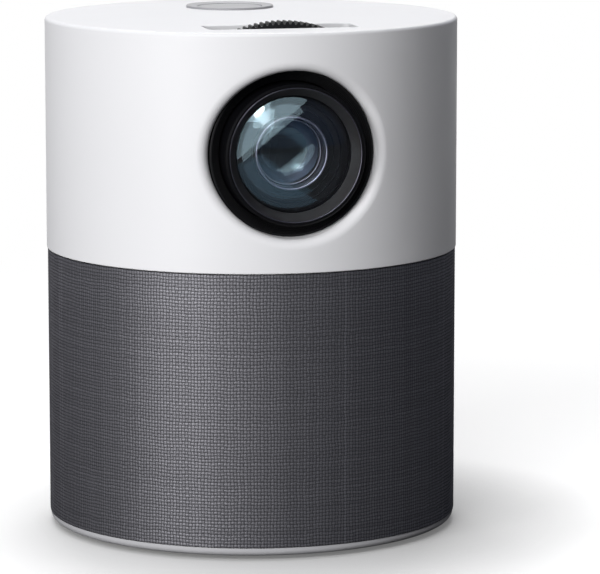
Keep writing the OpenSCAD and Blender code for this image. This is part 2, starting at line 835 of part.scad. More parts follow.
module lens_mount() {
    slot_len = focus_travel + 2 * groove_half;
    color("dimgray") facing_front(lens_z) difference() {
        union() {
            translate([0, 0, mount_u0]) block(mount_flange, mount_flange, mount_flange_t);
            translate([0, 0, mount_u0]) cylinder(r = mount_r, h = mount_u1 - mount_u0);
            translate([0, 0, hub_u0 - move_gap - shoulder_t]) cylinder(r = ring_shoulder_r, h = shoulder_t);
        }
        translate([0, 0, mount_u0 - 1]) cylinder(r = mount_in_r, h = mount_u1);
        for (a = pin_angles) rotate([0, 0, a]) translate([mount_in_r - 1, 0, pin_u - slot_len / 2])
            translate([0, -groove_half, 0]) cube([10, 2 * groove_half, slot_len]);
        at_four(mount_screw_at, mount_screw_at) translate([0, 0, mount_u0 - 1])
            cylinder(r = m3_clear, h = mount_flange_t + 2);
    }
}

module mount_screws() {
    color("silver") facing_front(lens_z) at_four(mount_screw_at, mount_screw_at)
        translate([0, 0, mount_u0 + mount_flange_t])
            screw(m3_pilot - thread_fit, mount_flange_t + hood_wall + mount_boss_len - 1,
                m3_head_r, m3_head_h);
}

module lens_barrel() {
    body_u1 = bezel_u0 - focus_travel / 2 - 0.8;
    chamfer = 0.5;
    funnel_r = glass_bore_r;
    narrow_r = middle_r - 1.2;
    funnel_steps = 4;
    funnel_u = middle_u1 + barrel_step;
    funnel = [for (i = [0 : funnel_steps], k = [0, 1])
        [funnel_r - (funnel_r - narrow_r) * (i + k - 1) / funnel_steps,
         glass_back_u - (glass_back_u - funnel_u) * i / funnel_steps]];
    seat = front_ring_r + glass_fit;
    inner = concat([[seat, barrel_u], [seat, front_ring_u], [glass_r + glass_fit, front_ring_u],
        [glass_r + glass_fit, glass_back_u], [glass_bore_r, glass_back_u]],
        [for (i = [2 : len(funnel) - 2]) funnel[i]],
        [[narrow_r, funnel_u], [narrow_r, middle_u1], [middle_r + glass_fit, middle_u1],
        [middle_r + glass_fit, stop_u], [rear_bore_r, stop_u], [rear_bore_r, barrel_u0]]);
    outer = [[barrel_r, barrel_u0], [barrel_r, body_u1], [nose_r, body_u1], [nose_r, barrel_u - chamfer],
        [nose_r - chamfer, barrel_u]];
    color("black") facing_front(lens_z) difference() {
        revolve(concat(inner, outer));
        for (a = pin_angles) rotate([0, 0, a]) translate([pin_root_r, 0, pin_u])
            rotate([0, 90, 0]) cylinder(r = pin_r + pin_fit, h = 10);
    }
}

module focus_pins() {
    color("silver") facing_front(lens_z) for (a = pin_angles)
        rotate([0, 0, a]) translate([pin_root_r, 0, pin_u]) rotate([0, 90, 0])
            cylinder(r = pin_r, h = pin_tip_r - pin_root_r);
}

module front_lens() {
    back_rise = sqrt(pow(glass_back_curve, 2) - pow(glass_bore_r, 2));
    color("lightcyan") facing_front(lens_z) difference() {
        intersection() {
            translate([0, 0, glass_back_u]) cylinder(r = glass_r, h = 20);
            translate([0, 0, glass_vertex_u - glass_curve]) sphere(r = glass_curve);
        }
        translate([0, 0, glass_back_u - back_rise]) sphere(r = glass_back_curve);
    }
}

// Ring in front of the glass, with a flared mouth.
module front_ring() {
    lip = 0.5;
    foot_t = 0.8;
    ring_u1 = barrel_u - 0.4;
    color("dimgray") facing_front(lens_z) revolve([[front_ring_in_r, front_ring_u],
        [front_ring_r, front_ring_u], [front_ring_r, ring_u1], [front_ring_r - lip, ring_u1],
        [front_ring_in_r, front_ring_u + foot_t]]);
}

// Glass disc of radius r with both faces domed, from u0 to u1.
module domed_glass(r, u0, u1, curve) {
    intersection() {
        translate([0, 0, u0]) cylinder(r = r, h = u1 - u0);
        translate([0, 0, u1 - curve]) sphere(r = curve);
        translate([0, 0, u0 + curve]) sphere(r = curve);
    }
}

module middle_lens() {
    color("lightcyan") facing_front(lens_z)
        domed_glass(middle_r, middle_u1 - middle_t, middle_u1 + middle_dome, middle_curve);
}

module stop_ring() {
    color("black") facing_front(lens_z) translate([0, 0, stop_u]) tube(middle_r, stop_r, stop_t);
}

module rear_lens() {
    color("lightcyan") facing_front(lens_z)
        domed_glass(rear_bore_r - glass_fit, stop_u - rear_lens_t, stop_u, rear_curve);
}

module rear_ring() {
    wall = 3;
    dome_room = 1;
    color("black") facing_front(lens_z)
        translate([0, 0, stop_u - rear_lens_t - rear_ring_t + dome_room])
            tube(rear_bore_r - glass_fit, rear_bore_r - wall, rear_ring_t);
}

module mirror_hood() {
    front_y = engine_y - hood_half;
    back_y = engine_y + hood_half;
    in_half = hood_half - hood_wall;
    in_rise = hood_rise - hood_wall;
    outer = [[front_y, hood_z], [front_y, lens_z + hood_rise],
        [engine_y + hood_back - hood_rise, lens_z + hood_rise],
        [back_y, lens_z + hood_back - hood_half], [back_y, hood_z]];
    inner = [[engine_y - in_half, hood_z - 1], [engine_y - in_half, lens_z + in_rise],
        [engine_y + mirror_back - in_rise, lens_z + in_rise],
        [engine_y + in_half, lens_z + mirror_back - in_half],
        [engine_y + in_half, hood_z - 1]];
    color("dimgray") difference() {
        union() {
            side_profile(hood_w, outer);
            at_engine(hood_z) block(stack_w, stack_d, hood_flange_t);
        }
        difference() {
            side_profile(hood_w - 2 * hood_wall, inner);
            facing_front(lens_z) at_four(mount_screw_at, mount_screw_at)
                translate([0, 0, mount_u0 - hood_wall - mount_boss_len])
                    cylinder(r = mount_boss_r, h = mount_boss_len + hood_wall);
        }
        facing_front(lens_z) translate([0, 0, mount_u0 - hood_wall - 1])
            cylinder(r = barrel_r + hood_bore_gap, h = hood_wall + 2);
        facing_front(lens_z) at_four(mount_screw_at, mount_screw_at)
            translate([0, 0, mount_u0 - hood_wall - mount_boss_len + 0.5])
                cylinder(r = m3_pilot, h = hood_wall + mount_boss_len);
        at_engine(hood_z - 1) at_four(hood_screw_x, hood_screw_y)
            cylinder(r = m2_clear, h = hood_flange_t + 2);
    }
}

module fold_mirror() {
    color("silver") at_engine(lens_z) rotate([-45, 0, 0])
        translate([-mirror_w / 2, -mirror_len / 2, 0]) cube([mirror_w, mirror_len, mirror_t]);
}

module panel_frame() {
    pane_gap = 0.2;
    color("black") at_engine(chassis_top) difference() {
        block(stack_w, stack_d, stack_h);
        translate([0, 0, -1]) block(light_w, light_d, stack_h + 2);
        translate([0, 0, -1]) block(lcd_w + 2 * pane_gap, lcd_d + 2 * pane_gap, pane_t + 1);
        translate([0, 0, stack_h - pane_t]) block(lcd_w + 2 * pane_gap, lcd_d + 2 * pane_gap, pane_t + 1);
        translate([0, stack_d / 4, lcd_slot_z - chassis_top])
            block(lcd_w + 2 * pane_gap, lcd_d + 2 * pane_gap + stack_d / 2, lcd_t + pane_gap);
        translate([0, 0, -1]) at_four(hood_screw_x, hood_screw_y) cylinder(r = m2_clear, h = stack_h + 2);
    }
}

module field_lens() {
    color("lightcyan") at_engine(hood_z - pane_t) block(lcd_w, lcd_d, pane_t);
}

module lcd_panel() {
    color("darkslategray") at_engine(lcd_slot_z) block(lcd_w, lcd_d, lcd_t);
}

module collimator_lens() {
    color("lightcyan") at_engine(chassis_top) block(lcd_w, lcd_d, pane_t);
}

module lcd_ribbon() {
    z0 = lcd_slot_z + lcd_t / 2;
    y0 = engine_y + lcd_d / 2;
    y1 = board_y0 - ribbon_gap;
    color("peru") side_profile(ribbon_w, [[y0, z0], [y1, z0], [y1, z0 + ribbon_rise],
        [y1 - ribbon_t, z0 + ribbon_rise], [y1 - ribbon_t, z0 + ribbon_t], [y0, z0 + ribbon_t]]);
}

module hood_screws() {
    color("silver") at_engine(hood_z + hood_flange_t) at_four(hood_screw_x, hood_screw_y)
        screw(m2_r - thread_fit, hood_flange_t + stack_h + chassis_t - 0.5, m2_head_r, m2_head_h);
}

module lamp_house() {
    low_in = lamp_low_w - 2 * lamp_wall;
    high_z = lamp_floor_z;
    color("dimgray") at_engine(0) difference() {
        union() {
            translate([0, 0, sink_top]) block(fan_size, fan_size, lamp_flange_t);
            translate([0, 0, sink_top]) block(lamp_low_w, lamp_low_w, high_z - sink_top + 1);
            translate([0, 0, high_z]) block(lamp_high_w, lamp_high_d, ledge_z - high_z);
        }
        translate([0, 0, sink_top - 1]) block(low_in, low_in, high_z - sink_top + 1);
        translate([0, 0, high_z + lamp_floor_t])
            block(lamp_high_w - 2 * lamp_wall, lamp_high_d - 2 * lamp_wall, ledge_z);
        translate([0, 0, high_z - 1]) cylinder(r = condenser_r - 2, h = lamp_floor_t + 2);
        translate([0, 0, condenser_z]) cylinder(r = condenser_r + 0.1, h = lamp_floor_t);
        at_four(fan_hole_at, fan_hole_at) translate([0, 0, sink_top - 1])
            cylinder(r = m3_clear, h = lamp_flange_t + 2);
    }
}

module condenser_lens() {
    rise = sqrt(pow(condenser_curve, 2) - pow(condenser_r, 2));
    color("lightcyan") at_engine(condenser_z) intersection() {
        cylinder(r = condenser_r, h = 20);
        translate([0, 0, condenser_edge - rise]) sphere(r = condenser_curve);
    }
}

module led_board() {
    color("whitesmoke") at_engine(sink_top) block(led_side, led_side, led_board_t);
}

module led_emitter() {
    emitter_side = 14;
    color("gold") at_engine(sink_top + led_board_t) block(emitter_side, emitter_side, led_t);
}

module heat_sink() {
    fin_pitch = (fan_size - fin_t) / (fin_count - 1);
    color("silver") at_engine(0) difference() {
        union() {
            translate([0, 0, sink_z]) block(fan_size, fan_size, sink_base_t);
            for (i = [0 : fin_count - 1])
                translate([-fan_size / 2 + fin_t / 2 + i * fin_pitch, 0, fan_top])
                    block(fin_t, fan_size, fin_h + 1);
        }
        at_four(fan_hole_at, fan_hole_at) {
            translate([0, 0, fan_top - 1]) cylinder(r = sink_hole_r, h = fin_h + 1);
            translate([0, 0, fan_top]) cylinder(r = m3_clear, h = fin_h + sink_base_t + 1);
        }
    }
}

module fan_frame() {
    strut_w = 3;
    color("black") at_engine(fan_z) {
        difference() {
            block(fan_size, fan_size, fan_t);
            translate([0, 0, -1]) cylinder(r = fan_bore_r, h = fan_t + 2);
            at_four(fan_hole_at, fan_hole_at) translate([0, 0, -1]) cylinder(r = 2, h = fan_t + 2);
        }
        cylinder(r = fan_hub_r, h = fan_strut_t);
        block(fan_size - 1, strut_w, fan_strut_t);
        block(strut_w, fan_size - 1, fan_strut_t);
        cylinder(r = m3_r, h = fan_t - 3);
    }
}

module fan_rotor() {
    rotor_h = fan_t - fan_strut_t - 2.2;
    tip_r = fan_bore_r - 0.8;
    pitch = 38;
    blade_t = 1.3;
    color("black") at_engine(fan_z + fan_strut_t + 0.6) difference() {
        union() {
            cylinder(r = fan_hub_r, h = rotor_h);
            intersection() {
                cylinder(r = tip_r, h = rotor_h);
                in_ring(fan_hub_r - 1, [for (i = [0 : blade_count - 1]) i * 360 / blade_count])
                    translate([0, 0, rotor_h / 2]) rotate([pitch, 0, 0])
                        translate([0, -blade_t / 2, -rotor_h]) cube([fan_size, blade_t, 2 * rotor_h]);
            }
        }
        translate([0, 0, -1]) cylinder(r = m3_r + shaft_fit, h = rotor_h);
    }
}

module tower_screws() {
    len = sink_top + lamp_flange_t - base_z - 4;
    color("silver") at_engine(sink_top + lamp_flange_t) at_four(fan_hole_at, fan_hole_at)
        screw(m3_r, len, m3_head_r, m3_head_h);
}

module main_board() {
    color("darkgreen") translate([0, board_y0 + board_t / 2, chassis_top + guide_floor])
        block(board_w, board_t, board_h);
}

module processor() {
    color("silver") translate([chip_x, board_y0 - chip_t / 2, port_z - chip_side / 2])
        block(chip_side, chip_t, chip_side);
}

// Socket body with an open mouth and a contact tongue, mouth towards +Y.
module tongue_socket(size) {
    translate([0, socket_y0, -size[1] / 2]) difference() {
        translate([0, socket_len / 2, 0]) block(size[0], socket_len, size[1]);
        translate([0, socket_len, socket_skin]) difference() {
            block(size[0] - 2 * socket_skin, 2 * cavity_len, size[1] - 2 * socket_skin);
            translate([0, -cavity_len, size[1] / 2 - socket_skin - tongue_t / 2])
                block(size[0] - 4, 2 * tongue_len, tongue_t);
        }
    }
}

module video_socket() {
    color("silver") translate([video_x, 0, port_z + row_z]) tongue_socket(video_size);
}

module data_socket() {
    color("silver") translate([data_x, 0, port_z + row_z]) tongue_socket(data_size);
}

// Round socket: a square body with a nose that reaches into the tray.
module round_socket(nose_r) {
    nose_len = 4;
    translate([0, socket_y0 + (socket_len - nose_len) / 2, -nose_r])
        block(2 * nose_r, socket_len - nose_len, 2 * nose_r);
    translate([0, socket_y1, 0]) rotate([90, 0, 0]) cylinder(r = nose_r, h = socket_len / 2);
}

module audio_jack() {
    color("black") translate([audio_x, 0, port_z - row_z]) difference() {
        round_socket(audio_nose_r);
        translate([0, socket_y1 + 1, 0]) rotate([90, 0, 0]) cylinder(d = audio_d, h = socket_len - 1);
    }
}

module power_inlet() {
    color("black") translate([power_x, 0, port_z - row_z]) difference() {
        round_socket(power_nose_r);
        translate([0, socket_y1 + 1, 0]) rotate([90, 0, 0])
            tube(power_hole_r, power_pin_r, cavity_len + 1);
    }
}

module ir_receiver() {
    color("maroon") translate([ir_x, 0, port_z - row_z]) round_socket(ir_r);
}

module driver_board() {
    color("darkgreen") translate([driver_x, driver_y, base_top + guide_floor])
        block(board_t, driver_len, driver_h);
}

module speaker_basket() {
    front_r = speaker_ring_in_r - 0.5;
    shell = [[front_r, speaker_u - flange_t], [speaker_r, speaker_u - flange_t], [speaker_r, speaker_u],
        [surround_r - 0.6, speaker_u], [surround_r - 0.6, speaker_u - flange_t],
        [basket_back_r - basket_wall, basket_u0], [coil_r + coil_gap, basket_u0],
        [coil_r + coil_gap, basket_u0 - basket_plate_t], [basket_back_r, basket_u0 - basket_plate_t],
        [basket_back_r, basket_u0]];
    color("dimgray") facing_front(speaker_z) difference() {
        revolve(shell);
        in_ring(speaker_screw_at, [45 : 90 : 315])
            translate([0, 0, speaker_u - flange_t - 1]) cylinder(r = m2_clear, h = flange_t + 2);
        in_ring(0, [0 : 90 : 270]) translate([basket_back_r + 1.5, -6, basket_u0 + 2.5])
            cube([10, 12, basket_len - 5]);
    }
}

module speaker_magnet() {
    gap_depth = coil_len + neck_gap + cone_stroke;
    color("dimgray") facing_front(speaker_z) difference() {
        translate([0, 0, magnet_u0]) cylinder(r = magnet_r, h = magnet_t);
        translate([0, 0, magnet_u0 + magnet_t - gap_depth])
            tube(coil_r + coil_gap, coil_r - coil_wall - coil_gap, gap_depth + 1);
    }
}

module speaker_surround() {
    roll = (surround_r - cone_r) / 2;
    roll_t = 0.6;
    middle = (surround_r + cone_r) / 2;
    outline = concat(arc(middle, speaker_u, roll, 0, 180, 10),
        arc(middle, speaker_u, roll - roll_t, 180, 0, 10));
    color("black") facing_front(speaker_z) revolve(outline);
}

module speaker_cone() {
    edge_r = cone_r - move_gap;
    neck_u = basket_u0 + neck_gap + cone_stroke;
    coil_u = basket_u0 - basket_plate_t - coil_len;
    cap_t = 1;
    color("black") facing_front(speaker_z) revolve([[0, neck_u + cap_t], [coil_r, neck_u + cap_t],
        [edge_r, speaker_u], [edge_r, speaker_u - cone_t], [coil_r, neck_u], [coil_r, coil_u],
        [coil_r - coil_wall, coil_u], [coil_r - coil_wall, neck_u], [0, neck_u]]);
}

module speaker_screws() {
    color("silver") facing_front(speaker_z) in_ring(speaker_screw_at, [45 : 90 : 315])
        translate([0, 0, speaker_u - flange_t]) rotate([180, 0, 0])
            screw(m2_pilot - thread_fit, speaker_screw_len, m2_head_r, m2_head_h);
}

upper_shell();
lens_bezel();
port_tray();
cloth_sleeve();
grille_frame();
base_tray();
rubber_feet();
tripod_insert();
base_screws();
mid_chassis();
shell_screws();
control_ring();
power_button();
button_guide();
key_board();
tact_switch();
key_screws();
focus_ring();
focus_retainer();
lens_mount();
mount_screws();
lens_barrel();
focus_pins();
front_lens();
front_ring();
middle_lens();
stop_ring();
rear_lens();
rear_ring();
mirror_hood();
fold_mirror();
panel_frame();
field_lens();
lcd_panel();
collimator_lens();
lcd_ribbon();
hood_screws();
lamp_house();
condenser_lens();
led_board();
led_emitter();
heat_sink();
fan_frame();
fan_rotor();
tower_screws();
main_board();
processor();
video_socket();
data_socket();
audio_jack();
power_inlet();
ir_receiver();
driver_board();
speaker_basket();
speaker_magnet();
speaker_surround();
speaker_cone();
speaker_screws();
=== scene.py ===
"""Looks of a drum-shaped video projector: white shell, woven sleeve, lens and studio."""
import json
import math

import bmesh
import bpy
import numpy as np
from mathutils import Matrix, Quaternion, Vector


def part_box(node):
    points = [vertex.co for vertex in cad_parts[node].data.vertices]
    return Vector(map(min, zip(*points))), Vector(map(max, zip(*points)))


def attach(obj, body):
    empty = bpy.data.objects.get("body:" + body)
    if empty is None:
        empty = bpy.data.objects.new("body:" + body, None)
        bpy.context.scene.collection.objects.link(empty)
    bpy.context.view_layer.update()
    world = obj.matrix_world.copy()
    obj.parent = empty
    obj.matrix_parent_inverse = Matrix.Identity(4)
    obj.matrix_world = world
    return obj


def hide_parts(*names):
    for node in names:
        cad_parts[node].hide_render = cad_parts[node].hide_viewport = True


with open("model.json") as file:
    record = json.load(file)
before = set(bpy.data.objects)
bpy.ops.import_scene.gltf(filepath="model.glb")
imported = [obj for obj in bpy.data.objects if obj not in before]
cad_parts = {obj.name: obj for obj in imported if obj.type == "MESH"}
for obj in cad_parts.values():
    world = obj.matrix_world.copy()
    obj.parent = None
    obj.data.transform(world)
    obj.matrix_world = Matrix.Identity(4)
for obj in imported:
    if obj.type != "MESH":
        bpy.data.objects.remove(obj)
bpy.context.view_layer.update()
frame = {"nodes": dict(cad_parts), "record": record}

# Sizes in metres, read from the frame where it has them
MM = 0.001
SHELL_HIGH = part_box("upper_shell")[1]
CLOTH_LOW, CLOTH_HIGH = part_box("cloth_sleeve")
GLASS_LOW, GLASS_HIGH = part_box("front_lens")
FRONT_RING_LOW, FRONT_RING_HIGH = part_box("front_ring")
BEZEL_LOW, BEZEL_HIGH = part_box("lens_bezel")
TRAY_LOW, TRAY_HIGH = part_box("port_tray")
RING_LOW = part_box("focus_ring")[0]
CONTROL_LOW, CONTROL_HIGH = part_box("control_ring")
BODY_R = SHELL_HIGH.x
TOP_Z = SHELL_HIGH.z
SEAM_GAP = 0.3 * MM
SEAM_Z = CLOTH_HIGH.z + SEAM_GAP
LENS_Z = (GLASS_LOW.z + GLASS_HIGH.z) / 2
OPENING_R = 27.5 * MM


# Mesh building

SHARP_DEG = 35
SOFT_SEGMENTS = 2
SOFT_ANGLE_DEG = 40
LENS_SEGMENTS = 192


class MeshMaker:
    """Collects the points and faces of one mesh."""

    def __init__(self):
        self.points = []
        self.faces = []

    def loop(self, points):
        """Adds points and returns their numbers."""
        first = len(self.points)
        self.points.extend(tuple(p) for p in points)
        return list(range(first, len(self.points)))

    def face(self, numbers):
        self.faces.append(tuple(numbers))

    def bridge(self, a, b):
        """Joins two closed loops of the same length with quads."""
        for i in range(len(a)):
            j = (i + 1) % len(a)
            self.face((a[i], a[j], b[j], b[i]))

    def build(self, name, sharp_deg=SHARP_DEG):
        """Makes the object, with smooth faces and edges that are sharp past the given angle."""
        mesh = bpy.data.meshes.new(name)
        mesh.from_pydata(self.points, [], self.faces)
        tidy = bmesh.new()
        tidy.from_mesh(mesh)
        bmesh.ops.recalc_face_normals(tidy, faces=tidy.faces)
        tidy.to_mesh(mesh)
        tidy.free()
        mesh.polygons.foreach_set("use_smooth", [True] * len(mesh.polygons))
        mesh.set_sharp_from_angle(angle=math.radians(sharp_deg))
        piece = bpy.data.objects.new(name, mesh)
        bpy.context.scene.collection.objects.link(piece)
        return piece


def soften_edges(piece, width):
    """Small rounding on every sharp edge, with shading that keeps flat faces flat."""
    bevel = piece.modifiers.new("soft_edges", "BEVEL")
    bevel.width = width
    bevel.segments = SOFT_SEGMENTS
    bevel.limit_method = "ANGLE"
    bevel.angle_limit = math.radians(SOFT_ANGLE_DEG)
    shading = piece.modifiers.new("even_shading", "WEIGHTED_NORMAL")
    shading.keep_sharp = True


def place(piece, body, slot, material, *nodes):
    """Gives a new piece its body, finish and the frame nodes that it stands for."""
    piece.data.materials.append(material)
    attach(piece, body)
    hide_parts(*nodes)
    return piece


def lens_point(r, angle, u):
    """Point at radius r round the lens axis, u in front of the drum axis."""
    return (r * math.cos(angle), -u, LENS_Z + r * math.sin(angle))


def revolve_round_lens(name, outline):
    """Turns a closed outline of (r, u) points round the lens axis. Points at r = 0 become one point."""
    maker = MeshMaker()
    turns = [math.tau * i / LENS_SEGMENTS for i in range(LENS_SEGMENTS)]
    loops = []
    for r, u in outline:
        if r == 0:
            loops.append(maker.loop([lens_point(0, 0, u)]) * LENS_SEGMENTS)
        else:
            loops.append(maker.loop(lens_point(r, a, u) for a in turns))
    for a, b in zip(loops, loops[1:] + loops[:1]):
        for i in range(LENS_SEGMENTS):
            j = (i + 1) % LENS_SEGMENTS
            corners = list(dict.fromkeys((a[i], a[j], b[j], b[i])))
            if len(corners) > 2:
                maker.face(corners)
    return maker.build(name)


# Shader nodes

WHITE = (1, 1, 1)


def rgba(colour):
    """A plain colour as a node takes it. A socket stays as it is."""
    return (*colour, 1) if isinstance(colour, tuple) else colour


def shade_of(colour, factor):
    return tuple(min(1.0, c * factor) for c in colour)


class NodeTree:
    """Short calls that add nodes to the tree of a material or the world."""

    def __init__(self, tree):
        self.tree = tree

    def add(self, kind, inputs=None, **settings):
        node = self.tree.nodes.new("ShaderNode" + kind)
        for key, value in settings.items():
            setattr(node, key, value)
        for key, value in (inputs or {}).items():
            self.join(value, node.inputs[key])
        return node

    def join(self, value, socket):
        """Links a socket to an input, or sets the input to a plain value."""
        if isinstance(value, bpy.types.NodeSocket):
            self.tree.links.new(value, socket)
        else:
            socket.default_value = value

    def math(self, operation, a, b=0.0, c=0.0):
        return self.add("Math", {0: a, 1: b, 2: c}, operation=operation).outputs[0]

    def vector(self, operation, a, b=(0, 0, 0)):
        return self.add("VectorMath", {0: a, 1: b}, operation=operation).outputs

    def span(self, value, low, high, start=0.0, end=1.0, **settings):
        """Stretches value from the range start to end onto low to high, held at both ends."""
        inputs = {"Value": value, "From Min": start, "From Max": end, "To Min": low, "To Max": high}
        return self.add("MapRange", inputs, **settings).outputs["Result"]

    def mix(self, share, a, b):
        """Mixes two numbers."""
        return self.add("Mix", {0: share, 2: a, 3: b}).outputs[0]

    def blend(self, share, a, b):
        """Mixes two colours."""
        return self.add("Mix", {0: share, 6: rgba(a), 7: rgba(b)}, data_type="RGBA").outputs[2]

    def rays(self):
        """Two numbers: 1 where the camera looks, and 1 where gloss or glass looks."""
        path = self.add("LightPath").outputs
        mirrored = self.math("MAXIMUM", path["Is Glossy Ray"], path["Is Transmission Ray"])
        return path["Is Camera Ray"], mirrored


class Look(NodeTree):
    """A material with a Principled shader."""

    def __init__(self, name, **values):
        self.material = bpy.data.materials.new(name)
        self.material.use_nodes = True
        super().__init__(self.material.node_tree)
        self.shader = self.tree.nodes["Principled BSDF"]
        self.here = self.add("TexCoord").outputs["Object"]
        for key, value in values.items():
            self.put(key.replace("_", " ").title().replace("Ior", "IOR"), value)

    def put(self, name, value):
        """Sets or links an input of the shader."""
        self.join(rgba(value), self.shader.inputs[name])

    def noise(self, scale, detail, where=None):
        inputs = {"Vector": where or self.here, "Scale": scale, "Detail": detail}
        return self.add("TexNoise", inputs).outputs["Fac"]

    def bump(self, height, distance):
        self.put("Normal", self.add("Bump", {"Height": height, "Distance": distance}).outputs["Normal"])


# Materials

TONE_SCALE = 35
GLOSS_SCALE = 90
GLOSS_SPREAD = 0.05
GRAIN_SCALE = 2500
GRAIN_DEPTH = 0.02 * MM


def moulded(name, colour, roughness, grain=GRAIN_SCALE, spread=0.04, **values):
    """Moulded plastic: a fine spark-eroded grain, and slow changes of tone and gloss."""
    look = Look(name, **values)
    slow = look.noise(TONE_SCALE, detail=3)
    gloss = look.noise(GLOSS_SCALE, detail=4)
    look.put("Base Color", look.blend(slow, shade_of(colour, 1 - spread), shade_of(colour, 1 + spread)))
    look.put("Roughness", look.span(gloss, roughness - GLOSS_SPREAD, roughness + GLOSS_SPREAD))
    look.bump(look.noise(grain, detail=3), GRAIN_DEPTH)
    return look.material


STREAK_STRETCH = (1, 1, 12)
STREAK_SCALE = 900
STREAK_DARK = 0.85
STREAK_PALE = 1.1
STREAK_GLOSS = 0.08
STREAK_DEPTH = 0.01 * MM


def metal(name, colour, roughness):
    """Machined or drawn metal: fine lines along one direction."""
    look = Look(name, metallic=1.0)
    lines = look.add("Mapping", {"Vector": look.here, "Scale": STREAK_STRETCH}).outputs[0]
    streak = look.noise(STREAK_SCALE, detail=4, where=lines)
    look.put("Base Color", look.blend(streak, shade_of(colour, STREAK_DARK), shade_of(colour, STREAK_PALE)))
    look.put("Roughness", look.span(streak, roughness - STREAK_GLOSS, roughness + STREAK_GLOSS))
    look.bump(streak, STREAK_DEPTH)
    return look.material


GLASS_IOR = 1.5
FILM_SCALE = 60
FILM_TONE = 0.96
FILM_ROUGHNESS = 0.02
FILM_RANGE = (0.4, 0.7)


def optical_glass(name, tint, **values):
    """Coated glass with a faint uneven film."""
    look = Look(name, transmission_weight=1.0, ior=GLASS_IOR, **values)
    film = look.noise(FILM_SCALE, detail=2)
    look.put("Base Color", look.blend(film, tint, shade_of(tint, FILM_TONE)))
    look.put("Roughness", look.span(film, 0.0, FILM_ROUGHNESS, *FILM_RANGE))
    return look.material


CLOTH_COLOUR = (0.220, 0.216, 0.234)
CLOTH_T = 0.8 * MM
WEAVE_RELIEF = 0.05 * MM
HEM_ROUND = 0.15 * MM
THREADS = 400
WEAVE_LOW_Z = CLOTH_LOW.z + HEM_ROUND
WEAVE_HEIGHT = CLOTH_HIGH.z - CLOTH_LOW.z - 2 * HEM_ROUND
ROWS = round(WEAVE_HEIGHT * THREADS / (math.tau * CLOTH_HIGH.x))
# How far a thread strays, as a share of its pitch, and the noise that moves it
YARN_STRAY = 0.25
STRAY_RANGE = (0.25, 0.75)
SWAY_SCALE = 140
SLACK_SCALE = 170
# Tones of the yarn as factors of the cloth colour, painted shade in the gaps between the threads, and the
# depth of the bump
YARN_DARK = 0.86
YARN_PALE = 1.14
FEW_PALE = 1.25
FEW_PALE_FROM = 0.94
GAP_PAINTED_SHADE = 0.4
GAP_SHADE_RANGE = (0.25, 0.65)
YARN_DEPTH = 0.07 * MM


def woven(name, colour, threads, first_z, pitch):
    """Plain weave of satin yarn: upright threads round the sleeve crossed by level ones."""
    look = Look(name, metallic=0.88, roughness=0.53, specular_tint=(0.2, 0.2, 0.2))

    def stray(scale):
        return look.span(look.noise(scale, detail=3), -YARN_STRAY, YARN_STRAY, *STRAY_RANGE)

    def rounded(position):
        """Height of a round thread: 1 on its middle and 0 on its edges."""
        off_middle = look.math("SUBTRACT", look.math("FRACT", position), 0.5)
        return look.math("COSINE", look.math("MULTIPLY", off_middle, math.pi))

    def dipping(thread, other):
        """Height of a thread that bends over the crossing one."""
        return look.math("MULTIPLY", thread, look.math("MULTIPLY_ADD", other, 0.5, 0.5))

    def tone_of(number):
        return look.add("TexWhiteNoise", {"W": number}, noise_dimensions="1D").outputs["Value"]

    axis = look.add("SeparateXYZ", {0: look.here}).outputs
    turn = look.math("ARCTAN2", axis["X"], look.math("MULTIPLY", axis["Y"], -1.0))
    rows_up = look.math("DIVIDE", look.math("SUBTRACT", axis["Z"], first_z), pitch)
    across = look.math("MULTIPLY_ADD", turn, threads / math.tau, stray(SWAY_SCALE))
    along = look.math("ADD", rows_up, stray(SLACK_SCALE))
    column = look.math("FLOOR", across)
    row = look.math("FLOOR", along)
    upright, level = rounded(across), rounded(along)
    over = look.math("PINGPONG", look.math("ADD", column, row), 1.0)
    height = look.mix(over, dipping(upright, level), dipping(level, upright))
    column_tone = tone_of(column)
    tone = look.mix(over, column_tone, tone_of(row))
    yarn = look.blend(tone, shade_of(colour, YARN_DARK), shade_of(colour, YARN_PALE))
    is_pale = look.math("GREATER_THAN", column_tone, FEW_PALE_FROM)
    pale = look.blend(is_pale, yarn, shade_of(colour, FEW_PALE))
    # Painted shade: the colour is darkened in the gaps between the threads, where the crossing yarn would
    # shade them.
    gap_shade = look.span(height, 0.0, 1.0, *GAP_SHADE_RANGE)
    look.put("Base Color", look.blend(gap_shade, shade_of(colour, GAP_PAINTED_SHADE), pale))
    look.bump(height, YARN_DEPTH)
    return look.material


TRACK_SCALE = 260
TRACK_SHARE = 0.3
TRACK_DEPTH = 0.03 * MM
BOARD_GREEN = (0.02, 0.10, 0.05)
TRACK_GREEN = (0.05, 0.22, 0.10)


def circuit_board(name):
    """Green board with copper tracks under the lacquer."""
    look = Look(name, roughness=0.4)
    tracks = look.add("TexVoronoi", {"Vector": look.here, "Scale": TRACK_SCALE}, distance="CHEBYCHEV")
    line = look.math("LESS_THAN", tracks.outputs["Distance"], TRACK_SHARE)
    look.put("Base Color", look.blend(line, BOARD_GREEN, TRACK_GREEN))
    look.bump(line, TRACK_DEPTH)
    return look.material


BAND_WAVER = 0.3
BAND_DEPTH = 0.02 * MM


def banded(name, colour, dark, scale, roughness):
    """Fine parallel stripes, as on a flat cable or a phosphor block."""
    look = Look(name, roughness=roughness)
    wave = look.add("TexWave", {"Vector": look.here, "Scale": scale, "Distortion": BAND_WAVER})
    bands = wave.outputs["Fac"]
    look.put("Base Color", look.blend(bands, colour, dark))
    look.bump(bands, BAND_DEPTH)
    return look.material


